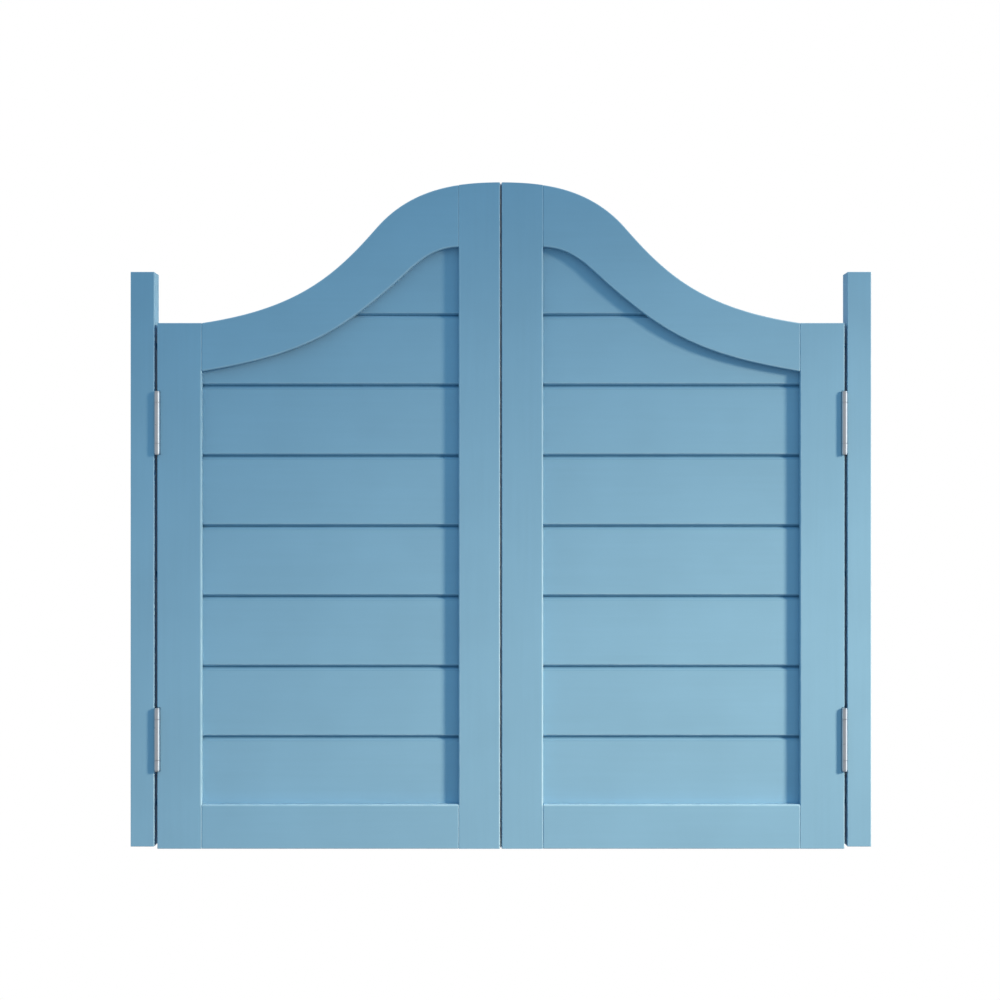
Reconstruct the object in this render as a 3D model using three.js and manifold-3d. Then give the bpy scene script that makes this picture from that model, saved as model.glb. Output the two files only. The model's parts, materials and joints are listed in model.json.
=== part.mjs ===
// Cafe swinging doors: a pair of arched half-height leaves on double-action spring hinges.
// Millimetres, +Z up. X runs across the doorway from its centre line, Y from the front to the back
// through the middle of the leaves, Z up from the foot of the leaves. "out" is a distance from the
// centre line towards either wall, so that one description serves both leaves.
import * as THREE from 'three';
import { mergeVertices } from 'three/addons/utils/BufferGeometryUtils.js';
import Module from 'manifold-3d';

// Doorway and jambs
const DOORWAY_WIDTH = 1000;
const JAMB_WIDTH = 32;
const JAMB_FOOT = 3;
const JAMB_RISE = 69;
const HINGE_GAP = 4;
const MEETING_GAP = 1;

// Joinery of a leaf
const LEAF_THICKNESS = 34;
const HINGE_STILE_WIDTH = 60;
const MEETING_STILE_WIDTH = 56.5;
const MEETING_CROWN = 1.6;
const CROWN_STEPS = 8;
const BOTTOM_RAIL_HEIGHT = 60;
const SHOULDER_HEIGHT = 710;
const CREST_HEIGHT = 900;
const CREST_RAIL_DEPTH = 87.5;
const SHOULDER_RAIL_DEPTH = 65.5;
const EASED_EDGE = 1.4;
const TENON_THICKNESS = 12;
const TENON_LENGTH = 30;
const TENON_SHOULDER = 11;
const FIT = 0.3;

// The two ogees of the top rail, in shares of their own run and fall: each is two cubic Bezier curves
// that meet at the turn, level at the crest and nearly level at the shoulder
const OUTER_OGEE = {
  crest: [0.146, 0],
  before: [0.3, 0.041],
  turn: [0.417, 0.327],
  after: [0.557, 0.669],
  foot: [0.684, 0.9],
};
const INNER_OGEE = {
  crest: [0.116, 0],
  before: [0.185, 0.176],
  turn: [0.252, 0.297],
  after: [0.475, 0.695],
  foot: [0.604, 0.864],
};
const OGEE_STEPS = 12;

// Boards of the panel: the joints lie evenly between the first one and the last one that runs the whole
// width, just under the shoulder end of the top rail, and go on above it at the same spacing
const BOARD_COUNT = 8;
const BOARDS_BETWEEN_FULL_JOINTS = 5;
const BOARD_THICKNESS = 14;
const FIRST_BOARD_JOINT = 149.2;
const LAST_FULL_JOINT_DROP = 18.7;
const BOARD_VEE = 3.5;
const BOARD_HOUSING = 8;
const TONGUE_THICKNESS = 4.4;
const TONGUE_HEIGHT = 4;

// Double-action spring hinges
const LOWER_HINGE_RISE = 147.5;
const UPPER_HINGE_DROP = 135;
const HINGE_LENGTH = 86;
const BARREL_RADIUS = 3.9;
const BARREL_BORE = 3;
const BARREL_PROUD = 1.4;
const BARREL_RELIEF = 0.5;
const END_KNUCKLE = 13;
const PLATE_THICKNESS = 1;
const PLATE_EDGE = 12;
const PLATE_CORNER = 3;
const CAP_HEIGHT = 2.2;
const CAP_RADIUS = 3.6;
const CAP_CHAMFER = 0.8;
const SLOT_WIDTH = 1;
const SLOT_DEPTH = 1;
const SPINDLE_RADIUS = 1.5;
const SPRING_WIRE = 0.45;
const SPRING_TURNS = 5;
const SPRING_STEPS_PER_TURN = 7;
const SPRING_END_GAP = 0.6;
const ROUND_SIDES = 12;

// Countersunk screw holes: three in each flange, three through each jamb
const FLANGE_SCREW_SPACING = 29;
const FLANGE_SCREW_STAGGER = 4;
const FLANGE_SCREW_RADIUS = 1.9;
const FLANGE_SINK_RADIUS = 3;
const WALL_SCREW_RISE = 60;
const WALL_SCREW_DROP = 30;
const WALL_SCREW_RADIUS = 2.75;
const WALL_SINK_RADIUS = 5.5;
const WALL_SINK_DEPTH = 3;
const HOLE_SIDES = 10;
const CUT_MARGIN = 1;

// Places worked out from the driving sizes
const wallOut = DOORWAY_WIDTH / 2;
const jambFaceOut = wallOut - JAMB_WIDTH;
const leafEdgeOut = jambFaceOut - HINGE_GAP;
const meetingEdgeOut = MEETING_GAP / 2;
const openingNearOut = meetingEdgeOut + MEETING_STILE_WIDTH;
const openingFarOut = leafEdgeOut - HINGE_STILE_WIDTH;
const crestRailFoot = CREST_HEIGHT - CREST_RAIL_DEPTH;
const shoulderRailFoot = SHOULDER_HEIGHT - SHOULDER_RAIL_DEPTH;
const lastFullJoint = shoulderRailFoot - LAST_FULL_JOINT_DROP;
const boardPitch = (lastFullJoint - FIRST_BOARD_JOINT) / BOARDS_BETWEEN_FULL_JOINTS;
const hingeHeights = { lower: LOWER_HINGE_RISE, upper: SHOULDER_HEIGHT - UPPER_HINGE_DROP };
const highestWallScrew = SHOULDER_HEIGHT - WALL_SCREW_DROP;
const wallScrewHeights = [WALL_SCREW_RISE, (WALL_SCREW_RISE + highestWallScrew) / 2, highestWallScrew];
const halfLeaf = LEAF_THICKNESS / 2;
const platePlay = (HINGE_GAP - 3 * PLATE_THICKNESS) / 4;
const barrelInset = platePlay + BARREL_RADIUS;
const barrelOffset = halfLeaf + BARREL_PROUD;
const knuckleStack = HINGE_LENGTH - 2 * CAP_HEIGHT;
const tubeLength = knuckleStack - 2 * END_KNUCKLE - 2 * FIT;

const wasm = await Module();
wasm.setup();

const paintedWood = { color: 0x7ba9c2, roughness: 0.55, metalness: 0 };
const satinSteel = { color: 0xc9cdd2, roughness: 0.3, metalness: 1 };
const springSteel = { color: 0x8d9096, roughness: 0.4, metalness: 1 };

// Solids from geometries, and named meshes from solids

function solid(geometry) {
  const bare = new THREE.BufferGeometry();
  bare.setAttribute('position', geometry.getAttribute('position'));
  if (geometry.index) bare.setIndex(geometry.index);
  const merged = mergeVertices(bare, 1e-4);
  return new wasm.Manifold(new wasm.Mesh({
    numProp: 3,
    vertProperties: Float32Array.from(merged.getAttribute('position').array),
    triVerts: Uint32Array.from(merged.index.array),
  }));
}

function namedMesh(name, body, finish) {
  const { vertProperties, triVerts } = body.getMesh();
  const geometry = new THREE.BufferGeometry();
  geometry.setAttribute('position', new THREE.BufferAttribute(vertProperties, 3));
  geometry.setIndex(new THREE.BufferAttribute(triVerts, 1));
  geometry.computeVertexNormals();
  const mesh = new THREE.Mesh(geometry, new THREE.MeshStandardMaterial(finish));
  mesh.name = name;
  return mesh;
}

// A flat outline in X and Z, given as [x, z] points, with thickness through Y and eased edges
function slab(outline, thickness, ease) {
  const shape = new THREE.Shape(outline.map(([x, z]) => new THREE.Vector2(x, z)));
  const geometry = new THREE.ExtrudeGeometry(shape, {
    depth: thickness - 2 * ease,
    bevelEnabled: ease > 0,
    bevelThickness: ease,
    bevelSize: ease,
    bevelOffset: -ease,
    bevelSegments: 1,
    steps: 1,
  });
  geometry.translate(0, 0, ease - thickness / 2);
  geometry.rotateX(Math.PI / 2);
  return solid(geometry);
}

// A section in Y and Z swept along X from one place to another
function sweptAcross(section, fromX, toX) {
  const geometry = new THREE.ExtrudeGeometry(section, {
    depth: toX - fromX,
    bevelEnabled: false,
    curveSegments: 4,
    steps: 1,
  });
  geometry.applyMatrix4(new THREE.Matrix4().set(0, 0, 1, 0, 1, 0, 0, 0, 0, 1, 0, 0, 0, 0, 0, 1));
  geometry.translate(fromX, 0, 0);
  return solid(geometry);
}

function block(lowX, highX, lowY, highY, lowZ, highZ) {
  const geometry = new THREE.BoxGeometry(highX - lowX, highY - lowY, highZ - lowZ);
  geometry.translate((lowX + highX) / 2, (lowY + highY) / 2, (lowZ + highZ) / 2);
  return solid(geometry);
}

// An upright round bar
function upright(radius, length, x, y, z) {
  const geometry = new THREE.CylinderGeometry(radius, radius, length, ROUND_SIDES);
  geometry.rotateX(Math.PI / 2);
  geometry.translate(x, y, z);
  return solid(geometry);
}

// A level round cutter along X whose radius goes from one value to the other
function levelCone(fromX, toX, fromRadius, toRadius, y, z) {
  const geometry = new THREE.CylinderGeometry(toRadius, fromRadius, toX - fromX, HOLE_SIDES);
  geometry.rotateZ(-Math.PI / 2);
  geometry.translate((fromX + toX) / 2, y, z);
  return solid(geometry);
}

// The same box on either side of the centre line, told in "out" distances
function sideBlock(side, nearOut, farOut, halfThickness, lowZ, highZ) {
  const ends = [side * nearOut, side * farOut].sort((a, b) => a - b);
  return block(ends[0], ends[1], -halfThickness, halfThickness, lowZ, highZ);
}

// Ogee curves

function ogeePoints(form, nearOut, farOut, topZ, footZ) {
  const at = ([across, down]) => {
    const out = THREE.MathUtils.lerp(nearOut, farOut, across);
    return new THREE.Vector2(out, THREE.MathUtils.lerp(topZ, footZ, down));
  };
  const path = new THREE.CurvePath();
  path.add(new THREE.CubicBezierCurve(at([0, 0]), at(form.crest), at(form.before), at(form.turn)));
  path.add(new THREE.CubicBezierCurve(at(form.turn), at(form.after), at(form.foot), at([1, 1])));
  return path.getPoints(OGEE_STEPS);
}

// The stretch of a curve between two "out" places, its ends on the curve
function stretch(points, fromOut, toOut) {
  const heightAt = (out) => {
    const next = Math.max(1, points.findIndex((point) => point.x >= out));
    const [a, b] = [points[next - 1], points[next]];
    return THREE.MathUtils.mapLinear(out, a.x, b.x, a.y, b.y);
  };
  const inside = points.filter((point) => point.x > fromOut + FIT && point.x < toOut - FIT);
  const ends = [fromOut, toOut].map((out) => [out, heightAt(out)]);
  return [ends[0], ...inside.map((point) => [point.x, point.y]), ends[1]];
}

// A curve moved sideways off itself by a distance, along its own normals
function offsetCurve(points, distance) {
  return points.map((point, index) => {
    const before = points[Math.max(index - 1, 0)];
    const after = points[Math.min(index + 1, points.length - 1)];
    const along = new THREE.Vector2().subVectors(after, before).normalize();
    return new THREE.Vector2(point.x - along.y * distance, point.y + along.x * distance);
  });
}

const outerOgee = ogeePoints(OUTER_OGEE, 0, openingFarOut, CREST_HEIGHT, SHOULDER_HEIGHT);
const innerOgee = ogeePoints(INNER_OGEE, openingNearOut, openingFarOut, crestRailFoot, shoulderRailFoot);
const outerAtMeetingStile = stretch(outerOgee, meetingEdgeOut, openingNearOut).at(-1)[1];

const mirrored = (side, outline) => outline.map(([out, z]) => [side * out, z]);

// The opening of the frame, grown into the frame pieces all round: as a cutter it makes their grooves,
// and as a limit it trims the boards
function panelHousing(side, growth, thickness) {
  const top = offsetCurve(innerOgee, growth).map((point) => [point.x, point.y]);
  const near = openingNearOut - growth;
  const far = openingFarOut + growth;
  const foot = BOTTOM_RAIL_HEIGHT - growth;
  const curve = top.filter(([out]) => out > near && out < far);
  const outline = [[near, foot], [near, top[0][1]], ...curve, [far, top.at(-1)[1]], [far, foot]];
  return slab(mirrored(side, outline), thickness, 0);
}

const housingGroove = (side) => panelHousing(side, BOARD_HOUSING + FIT, BOARD_THICKNESS + 2 * FIT);

// Tenons of the two rails, as [low, high] heights at each end of the opening
const tenons = [
  { end: 'near', z: [TENON_SHOULDER, BOTTOM_RAIL_HEIGHT - BOARD_HOUSING - FIT - TENON_SHOULDER / 2] },
  { end: 'far', z: [TENON_SHOULDER, BOTTOM_RAIL_HEIGHT - BOARD_HOUSING - FIT - TENON_SHOULDER / 2] },
  { end: 'near', z: [crestRailFoot + TENON_SHOULDER, outerAtMeetingStile - TENON_SHOULDER] },
  { end: 'far', z: [shoulderRailFoot + TENON_SHOULDER, SHOULDER_HEIGHT - TENON_SHOULDER] },
];
const [bottomTenons, topTenons] = [tenons.slice(0, 2), tenons.slice(2)];

function tenonBlock(side, { end, z }, clearance) {
  const reach = TENON_LENGTH + clearance;
  const root = TENON_SHOULDER;
  const nearOut = end === 'near' ? openingNearOut - reach : openingFarOut - root;
  const farOut = end === 'near' ? openingNearOut + root : openingFarOut + reach;
  const half = TENON_THICKNESS / 2 + clearance;
  return sideBlock(side, nearOut, farOut, half, z[0] - clearance, z[1] + clearance);
}

const mortises = (side, end) => tenons.filter((tenon) => tenon.end === end)
  .map((tenon) => tenonBlock(side, tenon, FIT));

const cutAll = (body, cutters) => cutters.reduce((left, cutter) => left.subtract(cutter), body);
const joinAll = (body, additions) => additions.reduce((whole, addition) => whole.add(addition), body);

// Pieces of a leaf

const rectangle = (near, far, foot, top) => [[near, foot], [far, foot], [far, top], [near, top]];

function hingeStile(side) {
  const outline = rectangle(openingFarOut, leafEdgeOut, 0, SHOULDER_HEIGHT);
  const reliefs = Object.values(hingeHeights).flatMap((height) => [-1, 1].map((face) => upright(
    BARREL_RADIUS + BARREL_RELIEF,
    HINGE_LENGTH + 2 * BARREL_RELIEF,
    side * (jambFaceOut - barrelInset),
    face * barrelOffset,
    height,
  )));
  const body = slab(mirrored(side, outline), LEAF_THICKNESS, EASED_EDGE);
  return cutAll(body, [housingGroove(side), ...mortises(side, 'far'), ...reliefs]);
}

// The room of a meeting stile. Its meeting edge is rounded, so that the leaves swing past each other
// although the gap between them is narrow.
function roundedEdgeRoom(side) {
  const reach = halfLeaf + CUT_MARGIN;
  const edge = Array.from({ length: CROWN_STEPS + 1 }, (_, step) => {
    const y = THREE.MathUtils.lerp(-reach, reach, step / CROWN_STEPS);
    return new THREE.Vector2(side * (meetingEdgeOut + MEETING_CROWN * (y / halfLeaf) ** 2), y);
  });
  const far = side * (openingNearOut + CUT_MARGIN);
  const shape = new THREE.Shape([...edge, new THREE.Vector2(far, reach), new THREE.Vector2(far, -reach)]);
  const geometry = new THREE.ExtrudeGeometry(shape, {
    depth: CREST_HEIGHT + 2 * CUT_MARGIN,
    bevelEnabled: false,
    steps: 1,
  });
  geometry.translate(0, 0, -CUT_MARGIN);
  return solid(geometry);
}

function meetingStile(side) {
  const top = stretch(outerOgee, meetingEdgeOut, openingNearOut).reverse();
  const outline = [[meetingEdgeOut, 0], [openingNearOut, 0], ...top];
  const body = slab(mirrored(side, outline), LEAF_THICKNESS, EASED_EDGE).intersect(roundedEdgeRoom(side));
  return cutAll(body, [housingGroove(side), ...mortises(side, 'near')]);
}

function tenonedRail(side, outline, ends) {
  const body = slab(mirrored(side, outline), LEAF_THICKNESS, EASED_EDGE);
  const tongues = ends.map((tenon) => tenonBlock(side, tenon, 0));
  return joinAll(body, tongues).subtract(housingGroove(side));
}

function topRail(side) {
  const near = openingNearOut + FIT;
  const far = openingFarOut - FIT;
  const outline = [...stretch(innerOgee, near, far), ...stretch(outerOgee, near, far).reverse()];
  return tenonedRail(side, outline, topTenons);
}

function bottomRail(side) {
  const outline = rectangle(openingNearOut + FIT, openingFarOut - FIT, 0, BOTTOM_RAIL_HEIGHT);
  return tenonedRail(side, outline, bottomTenons);
}

// A board's section: tongue above, groove below and a V along every joint. The lowest board is square
// at its foot and the highest one at its top, where the rails house them.
function boardSection(index) {
  const lowest = index === 0;
  const highest = index === BOARD_COUNT - 1;
  const joint = FIRST_BOARD_JOINT + boardPitch * index;
  const foot = lowest ? BOTTOM_RAIL_HEIGHT - BOARD_HOUSING : joint - boardPitch + FIT / 2;
  const top = highest ? CREST_HEIGHT : joint - FIT / 2;
  const half = BOARD_THICKNESS / 2;
  const flat = half - BOARD_VEE;
  const tongue = TONGUE_THICKNESS / 2;
  const groove = tongue + FIT;
  const footEdge = lowest ? [[half, foot]] : [
    [groove, foot + TONGUE_HEIGHT + FIT],
    [groove, foot],
    [flat, foot],
    [half, foot + BOARD_VEE],
  ];
  const topEdge = highest ? [[half, top]] : [
    [half, top - BOARD_VEE],
    [flat, top],
    [tongue, top],
    [tongue, top + TONGUE_HEIGHT],
  ];
  const behind = [...footEdge, ...topEdge];
  const front = behind.map(([y, z]) => [-y, z]).reverse();
  return new THREE.Shape([...behind, ...front].map(([y, z]) => new THREE.Vector2(y, z)));
}

function board(side, index) {
  const ends = [openingNearOut - BOARD_HOUSING, openingFarOut + BOARD_HOUSING].map((out) => side * out);
  const blank = sweptAcross(boardSection(index), Math.min(...ends), Math.max(...ends));
  return blank.intersect(panelHousing(side, BOARD_HOUSING, LEAF_THICKNESS));
}

// Pieces of a hinge, in its own frame: x from the jamb's face towards the leaf, y as in the part with the
// jamb's barrel in front, z from the middle of the hinge

const barrelX = barrelInset;
const plateStart = (layer) => platePlay + layer * (PLATE_THICKNESS + platePlay);
const endKnuckleZ = (knuckleStack - END_KNUCKLE) / 2;

// A plate from its free edge, with round corners, to its straight edge at the barrel
function hingePlate(layer, freeY, barrelY, height) {
  const turn = Math.sign(freeY - barrelY);
  const half = height / 2;
  const shape = new THREE.Shape();
  shape.moveTo(barrelY, -half);
  shape.lineTo(freeY - turn * PLATE_CORNER, -half);
  shape.quadraticCurveTo(freeY, -half, freeY, PLATE_CORNER - half);
  shape.lineTo(freeY, half - PLATE_CORNER);
  shape.quadraticCurveTo(freeY, half, freeY - turn * PLATE_CORNER, half);
  shape.lineTo(barrelY, half);
  return sweptAcross(shape, plateStart(layer), plateStart(layer) + PLATE_THICKNESS);
}

// Three staggered countersunk holes, wide on the side away from the wood
function flangeHoles(layer, woodSide) {
  const start = plateStart(layer);
  const radii = [FLANGE_SCREW_RADIUS, FLANGE_SINK_RADIUS];
  if (woodSide > 0) radii.reverse();
  return [-1, 0, 1].map((place) => levelCone(
    start - FIT,
    start + PLATE_THICKNESS + FIT,
    ...radii,
    FLANGE_SCREW_STAGGER * (place === 0 ? 1 : -1),
    FLANGE_SCREW_SPACING * place,
  ));
}

// A flange: its plate, two end knuckles round its barrel, and room between them for the spring tube
function flange(layer, woodSide, barrelY) {
  const plate = hingePlate(layer, -Math.sign(barrelY) * PLATE_EDGE, barrelY, knuckleStack);
  const room = upright(BARREL_RADIUS + FIT, tubeLength + 2 * FIT, barrelX, barrelY, 0);
  const knuckles = [-1, 1].map((end) => (
    upright(BARREL_RADIUS, END_KNUCKLE, barrelX, barrelY, end * endKnuckleZ)
  ));
  const bore = upright(BARREL_BORE, knuckleStack + CUT_MARGIN, barrelX, barrelY, 0);
  return cutAll(joinAll(plate, knuckles), [room, bore, ...flangeHoles(layer, woodSide)]);
}

function centrePlate() {
  const start = plateStart(1);
  const end = start + PLATE_THICKNESS;
  const web = block(start, end, -PLATE_EDGE, PLATE_EDGE, -knuckleStack / 2, knuckleStack / 2);
  const tabs = block(start, end, -barrelOffset, barrelOffset, -tubeLength / 2, tubeLength / 2);
  const roundBars = (radius, length) => [-1, 1].map((face) => (
    upright(radius, length, barrelX, face * barrelOffset, 0)
  ));
  const tubes = roundBars(BARREL_RADIUS, tubeLength);
  return cutAll(joinAll(web, [tabs, ...tubes]), roundBars(BARREL_BORE, tubeLength + CUT_MARGIN));
}

// A spindle: a cap over each end of the barrel, a plug in each end knuckle and a thin shaft for the
// spring, with a slot in the upper cap for winding the spring up
function spindle(barrelY) {
  const plug = BARREL_BORE - FIT;
  const top = HINGE_LENGTH / 2;
  const underCap = knuckleStack / 2 + FIT;
  const plugFoot = knuckleStack / 2 - END_KNUCKLE;
  const upperHalf = [
    [SPINDLE_RADIUS, plugFoot],
    [plug, plugFoot],
    [plug, underCap],
    [CAP_RADIUS, underCap],
    [CAP_RADIUS, top - CAP_CHAMFER],
    [CAP_RADIUS - CAP_CHAMFER, top],
    [0, top],
  ];
  const lowerHalf = upperHalf.map(([radius, z]) => [radius, -z]).reverse();
  const profile = [...lowerHalf, ...upperHalf].map(([radius, z]) => new THREE.Vector2(radius, z));
  const geometry = new THREE.LatheGeometry(profile, ROUND_SIDES);
  geometry.rotateX(Math.PI / 2);
  geometry.translate(barrelX, barrelY, 0);
  const slot = block(
    barrelX - CAP_RADIUS - CUT_MARGIN,
    barrelX + CAP_RADIUS + CUT_MARGIN,
    barrelY - SLOT_WIDTH / 2,
    barrelY + SLOT_WIDTH / 2,
    top - SLOT_DEPTH,
    top + CUT_MARGIN,
  );
  return solid(geometry).subtract(slot);
}

class Helix extends THREE.Curve {
  constructor(radius, length, turns) {
    super();
    Object.assign(this, { radius, length, turns });
  }

  getPoint(t, target = new THREE.Vector3()) {
    const angle = 2 * Math.PI * this.turns * t;
    target.set(Math.cos(angle), Math.sin(angle), 0).multiplyScalar(this.radius);
    return target.setZ(this.length * (t - 0.5));
  }
}

// A square-wire torsion spring, halfway between the spindle and the wall of the tube
function spring(barrelY) {
  const length = tubeLength - 2 * (SPRING_END_GAP + SPRING_WIRE);
  const coil = new Helix((SPINDLE_RADIUS + BARREL_BORE) / 2, length, SPRING_TURNS);
  const wire = new THREE.Shape([[1, 0], [0, 1], [-1, 0], [0, -1]]
    .map(([x, y]) => new THREE.Vector2(x * SPRING_WIRE, y * SPRING_WIRE)));
  const geometry = new THREE.ExtrudeGeometry(wire, {
    steps: SPRING_TURNS * SPRING_STEPS_PER_TURN,
    extrudePath: coil,
    bevelEnabled: false,
  });
  geometry.translate(barrelX, barrelY, 0);
  return solid(geometry);
}

// A hinge at one height. The hinges are all alike: those of the right leaf are the same ones turned half
// round, so their jamb barrels lie behind the leaf.
function hinge(prefix, side, height) {
  const pieces = [
    ['jamb_flange', flange(0, -1, -barrelOffset), satinSteel],
    ['centre_plate', centrePlate(), satinSteel],
    ['door_flange', flange(2, 1, barrelOffset), satinSteel],
    ['jamb_spindle', spindle(-barrelOffset), satinSteel],
    ['door_spindle', spindle(barrelOffset), satinSteel],
    ['jamb_spring', spring(-barrelOffset), springSteel],
    ['door_spring', spring(barrelOffset), springSteel],
  ];
  const group = new THREE.Group();
  group.add(...pieces.map(([name, body, finish]) => namedMesh(`${prefix}_${name}`, body, finish)));
  group.position.set(side * jambFaceOut, 0, height);
  if (side > 0) group.rotation.z = Math.PI;
  return group;
}

function jamb(side) {
  const outline = rectangle(jambFaceOut, wallOut, JAMB_FOOT, SHOULDER_HEIGHT + JAMB_RISE);
  const body = slab(mirrored(side, outline), LEAF_THICKNESS, EASED_EDGE);
  const holes = wallScrewHeights.flatMap((z) => {
    const shank = [side * (jambFaceOut - CUT_MARGIN), side * (wallOut + CUT_MARGIN)].sort((a, b) => a - b);
    const mouth = side * jambFaceOut;
    const sunk = side * (jambFaceOut + WALL_SINK_DEPTH);
    const sink = side > 0
      ? levelCone(mouth, sunk, WALL_SINK_RADIUS, WALL_SCREW_RADIUS, 0, z)
      : levelCone(sunk, mouth, WALL_SCREW_RADIUS, WALL_SINK_RADIUS, 0, z);
    return [levelCone(...shank, WALL_SCREW_RADIUS, WALL_SCREW_RADIUS, 0, z), sink];
  });
  return cutAll(body, holes);
}

// The assembly

function leaf(label, side) {
  const group = new THREE.Group();
  const add = (name, body) => group.add(namedMesh(`${label}_${name}`, body, paintedWood));
  add('hinge_stile', hingeStile(side));
  add('meeting_stile', meetingStile(side));
  add('top_rail', topRail(side));
  add('bottom_rail', bottomRail(side));
  for (let index = 0; index < BOARD_COUNT; index += 1) add(`board_${index + 1}`, board(side, index));
  return group;
}

const doors = new THREE.Group();
for (const [label, side] of [['left', -1], ['right', 1]]) {
  doors.add(namedMesh(`${label}_jamb`, jamb(side), paintedWood));
  doors.add(leaf(label, side));
  for (const [place, height] of Object.entries(hingeHeights)) {
    doors.add(hinge(`${label}_${place}`, side, height));
  }
}

export default doors;
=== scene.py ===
"""Looks for a pair of cafe swinging doors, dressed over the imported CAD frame.

Metres, in the frame of the CAD part: X runs to the right across the doorway, Y from the front to the
back through the leaves, Z up from the foot of the leaves. "out" is a distance from the centre line of
the doorway towards either wall, so that one description serves both leaves.
"""

from __future__ import annotations

import json
import logging
import math
from collections.abc import Callable, Sequence
from dataclasses import dataclass, replace
from enum import Enum
from functools import cache
from typing import Any

import bmesh
import bpy
import numpy as np
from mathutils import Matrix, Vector

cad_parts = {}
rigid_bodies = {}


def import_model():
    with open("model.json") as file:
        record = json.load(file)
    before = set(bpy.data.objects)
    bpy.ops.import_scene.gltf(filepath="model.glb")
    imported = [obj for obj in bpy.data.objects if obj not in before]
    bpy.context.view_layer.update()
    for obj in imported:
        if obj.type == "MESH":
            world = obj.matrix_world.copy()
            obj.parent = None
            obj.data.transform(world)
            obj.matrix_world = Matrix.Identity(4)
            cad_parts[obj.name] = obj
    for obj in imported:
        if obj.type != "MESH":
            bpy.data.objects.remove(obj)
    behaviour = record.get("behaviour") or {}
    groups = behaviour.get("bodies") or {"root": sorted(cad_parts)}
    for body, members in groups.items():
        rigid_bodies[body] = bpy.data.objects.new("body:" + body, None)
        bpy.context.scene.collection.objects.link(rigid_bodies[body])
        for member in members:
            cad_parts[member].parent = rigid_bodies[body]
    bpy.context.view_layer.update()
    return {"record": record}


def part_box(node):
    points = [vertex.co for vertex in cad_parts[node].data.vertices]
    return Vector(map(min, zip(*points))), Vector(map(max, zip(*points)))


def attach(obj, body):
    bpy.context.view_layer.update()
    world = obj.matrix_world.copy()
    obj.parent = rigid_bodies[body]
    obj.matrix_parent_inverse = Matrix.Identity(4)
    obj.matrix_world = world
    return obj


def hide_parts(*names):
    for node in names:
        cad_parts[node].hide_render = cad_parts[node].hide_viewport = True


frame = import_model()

Array = np.ndarray
Triple = tuple[float, float, float]
Colour = Triple
Mapping = Callable[[Array, Array, Array], tuple[Array, Array, Array]]
Node = bpy.types.Node
Socket = bpy.types.NodeSocket
Tree = bpy.types.NodeTree

log = logging.getLogger("cafe_doors")

MM = 0.001
# Points on the curve of an eased corner
ARC_STEPS = 5
# Rings on the curve of an eased end
EASE_STEPS = 5
# Sides of a turned piece
ROUND_STEPS = 48
# How many radii from its corner a curve has one more point, which keeps the flat beside it evenly shaded
HOLD = 1.3
# Radius of an edge that looks sharp
LEAST_RADIUS = 0.01 * MM
# Points that lie nearer to each other than this are one
WELD = 0.0002 * MM
# An edge with a larger angle is shaded as a sharp one
SHARP_ANGLE = math.radians(33)
# The range that most values of a noise lie in
NOISE_LOW = 0.3
NOISE_HIGH = 0.7
# The sockets of node groups that hold something other than one number
SOCKET_KINDS = {"Place": "NodeSocketVector", "Figure": "NodeSocketVector", "Colour": "NodeSocketColor"}
# The sockets that all groups with the detail of a finish share
EFFECT_INPUTS = ("Place", "Figure", "Colour")
EFFECT_OUTPUTS = ("Colour", "Roughness", "Height")


class Named(Enum):
    """A choice that the names of the CAD nodes have in them."""

    @property
    def label(self) -> str:
        """The choice as the CAD nodes spell it."""
        return self.name.lower()


class Side(Named):
    """The wall that a leaf hangs on. The value is the sign of its X."""

    LEFT = -1
    RIGHT = 1


class Level(Named):
    """Which of a leaf's two hinges it is. The value is the height of its middle."""

    LOWER = 147.5 * MM
    UPPER = 575 * MM


class Layer(Enum):
    """A plate of a hinge. The value counts the plates from the jamb to the leaf."""

    JAMB_FLANGE = 0
    CENTRE_PLATE = 1
    DOOR_FLANGE = 2


class Grain(Enum):
    """Which way the wood under the paint runs, as how often its figure repeats per metre in X, Y and Z."""

    UPRIGHT = (190.0, 190.0, 7.0)
    LEVEL = (7.0, 190.0, 190.0)


def unit(vectors: Array) -> Array:
    """Vectors scaled to length one."""
    return vectors / np.linalg.norm(vectors, axis=-1, keepdims=True)


@dataclass
class Shell:
    """A closed skin that isn't in Blender yet.

    Attributes:
        points: places, one row of three numbers each.
        faces: lists of point numbers.
        arris: 1 on an eased edge, painted lighter there, 0 on a face and down to -1 deep in a joint, where
            shade is painted, for each point.
    """

    points: Array
    faces: list[list[int]]
    arris: Array

    def mapped(self, place: Mapping) -> Shell:
        """The same skin with every point moved.

        Args:
            place: gives the new three coordinates, as whole arrays, from the old ones.

        Returns:
            A new shell with the same faces.
        """
        moved = np.stack(np.broadcast_arrays(*place(*self.points.T)), axis=-1)
        return Shell(moved, self.faces, self.arris)

    def mesh(self, name: str) -> bpy.types.Mesh:
        """Puts the skin into a Blender mesh, welded, facing outwards and smooth between sharp edges.

        Args:
            name: name of the mesh.

        Returns:
            The mesh.
        """
        mesh = bpy.data.meshes.new(name)
        mesh.from_pydata(self.points.tolist(), [], self.faces)
        mesh.attributes.new("arris", "FLOAT", "POINT").data.foreach_set("value", self.arris)
        welder = bmesh.new()
        welder.from_mesh(mesh)
        bmesh.ops.remove_doubles(welder, verts=welder.verts, dist=WELD)
        bmesh.ops.recalc_face_normals(welder, faces=welder.faces)
        welder.to_mesh(mesh)
        welder.free()
        mesh.polygons.foreach_set("use_smooth", np.ones(len(mesh.polygons), bool))
        mesh.set_sharp_from_angle(angle=SHARP_ANGLE)
        return mesh


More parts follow.
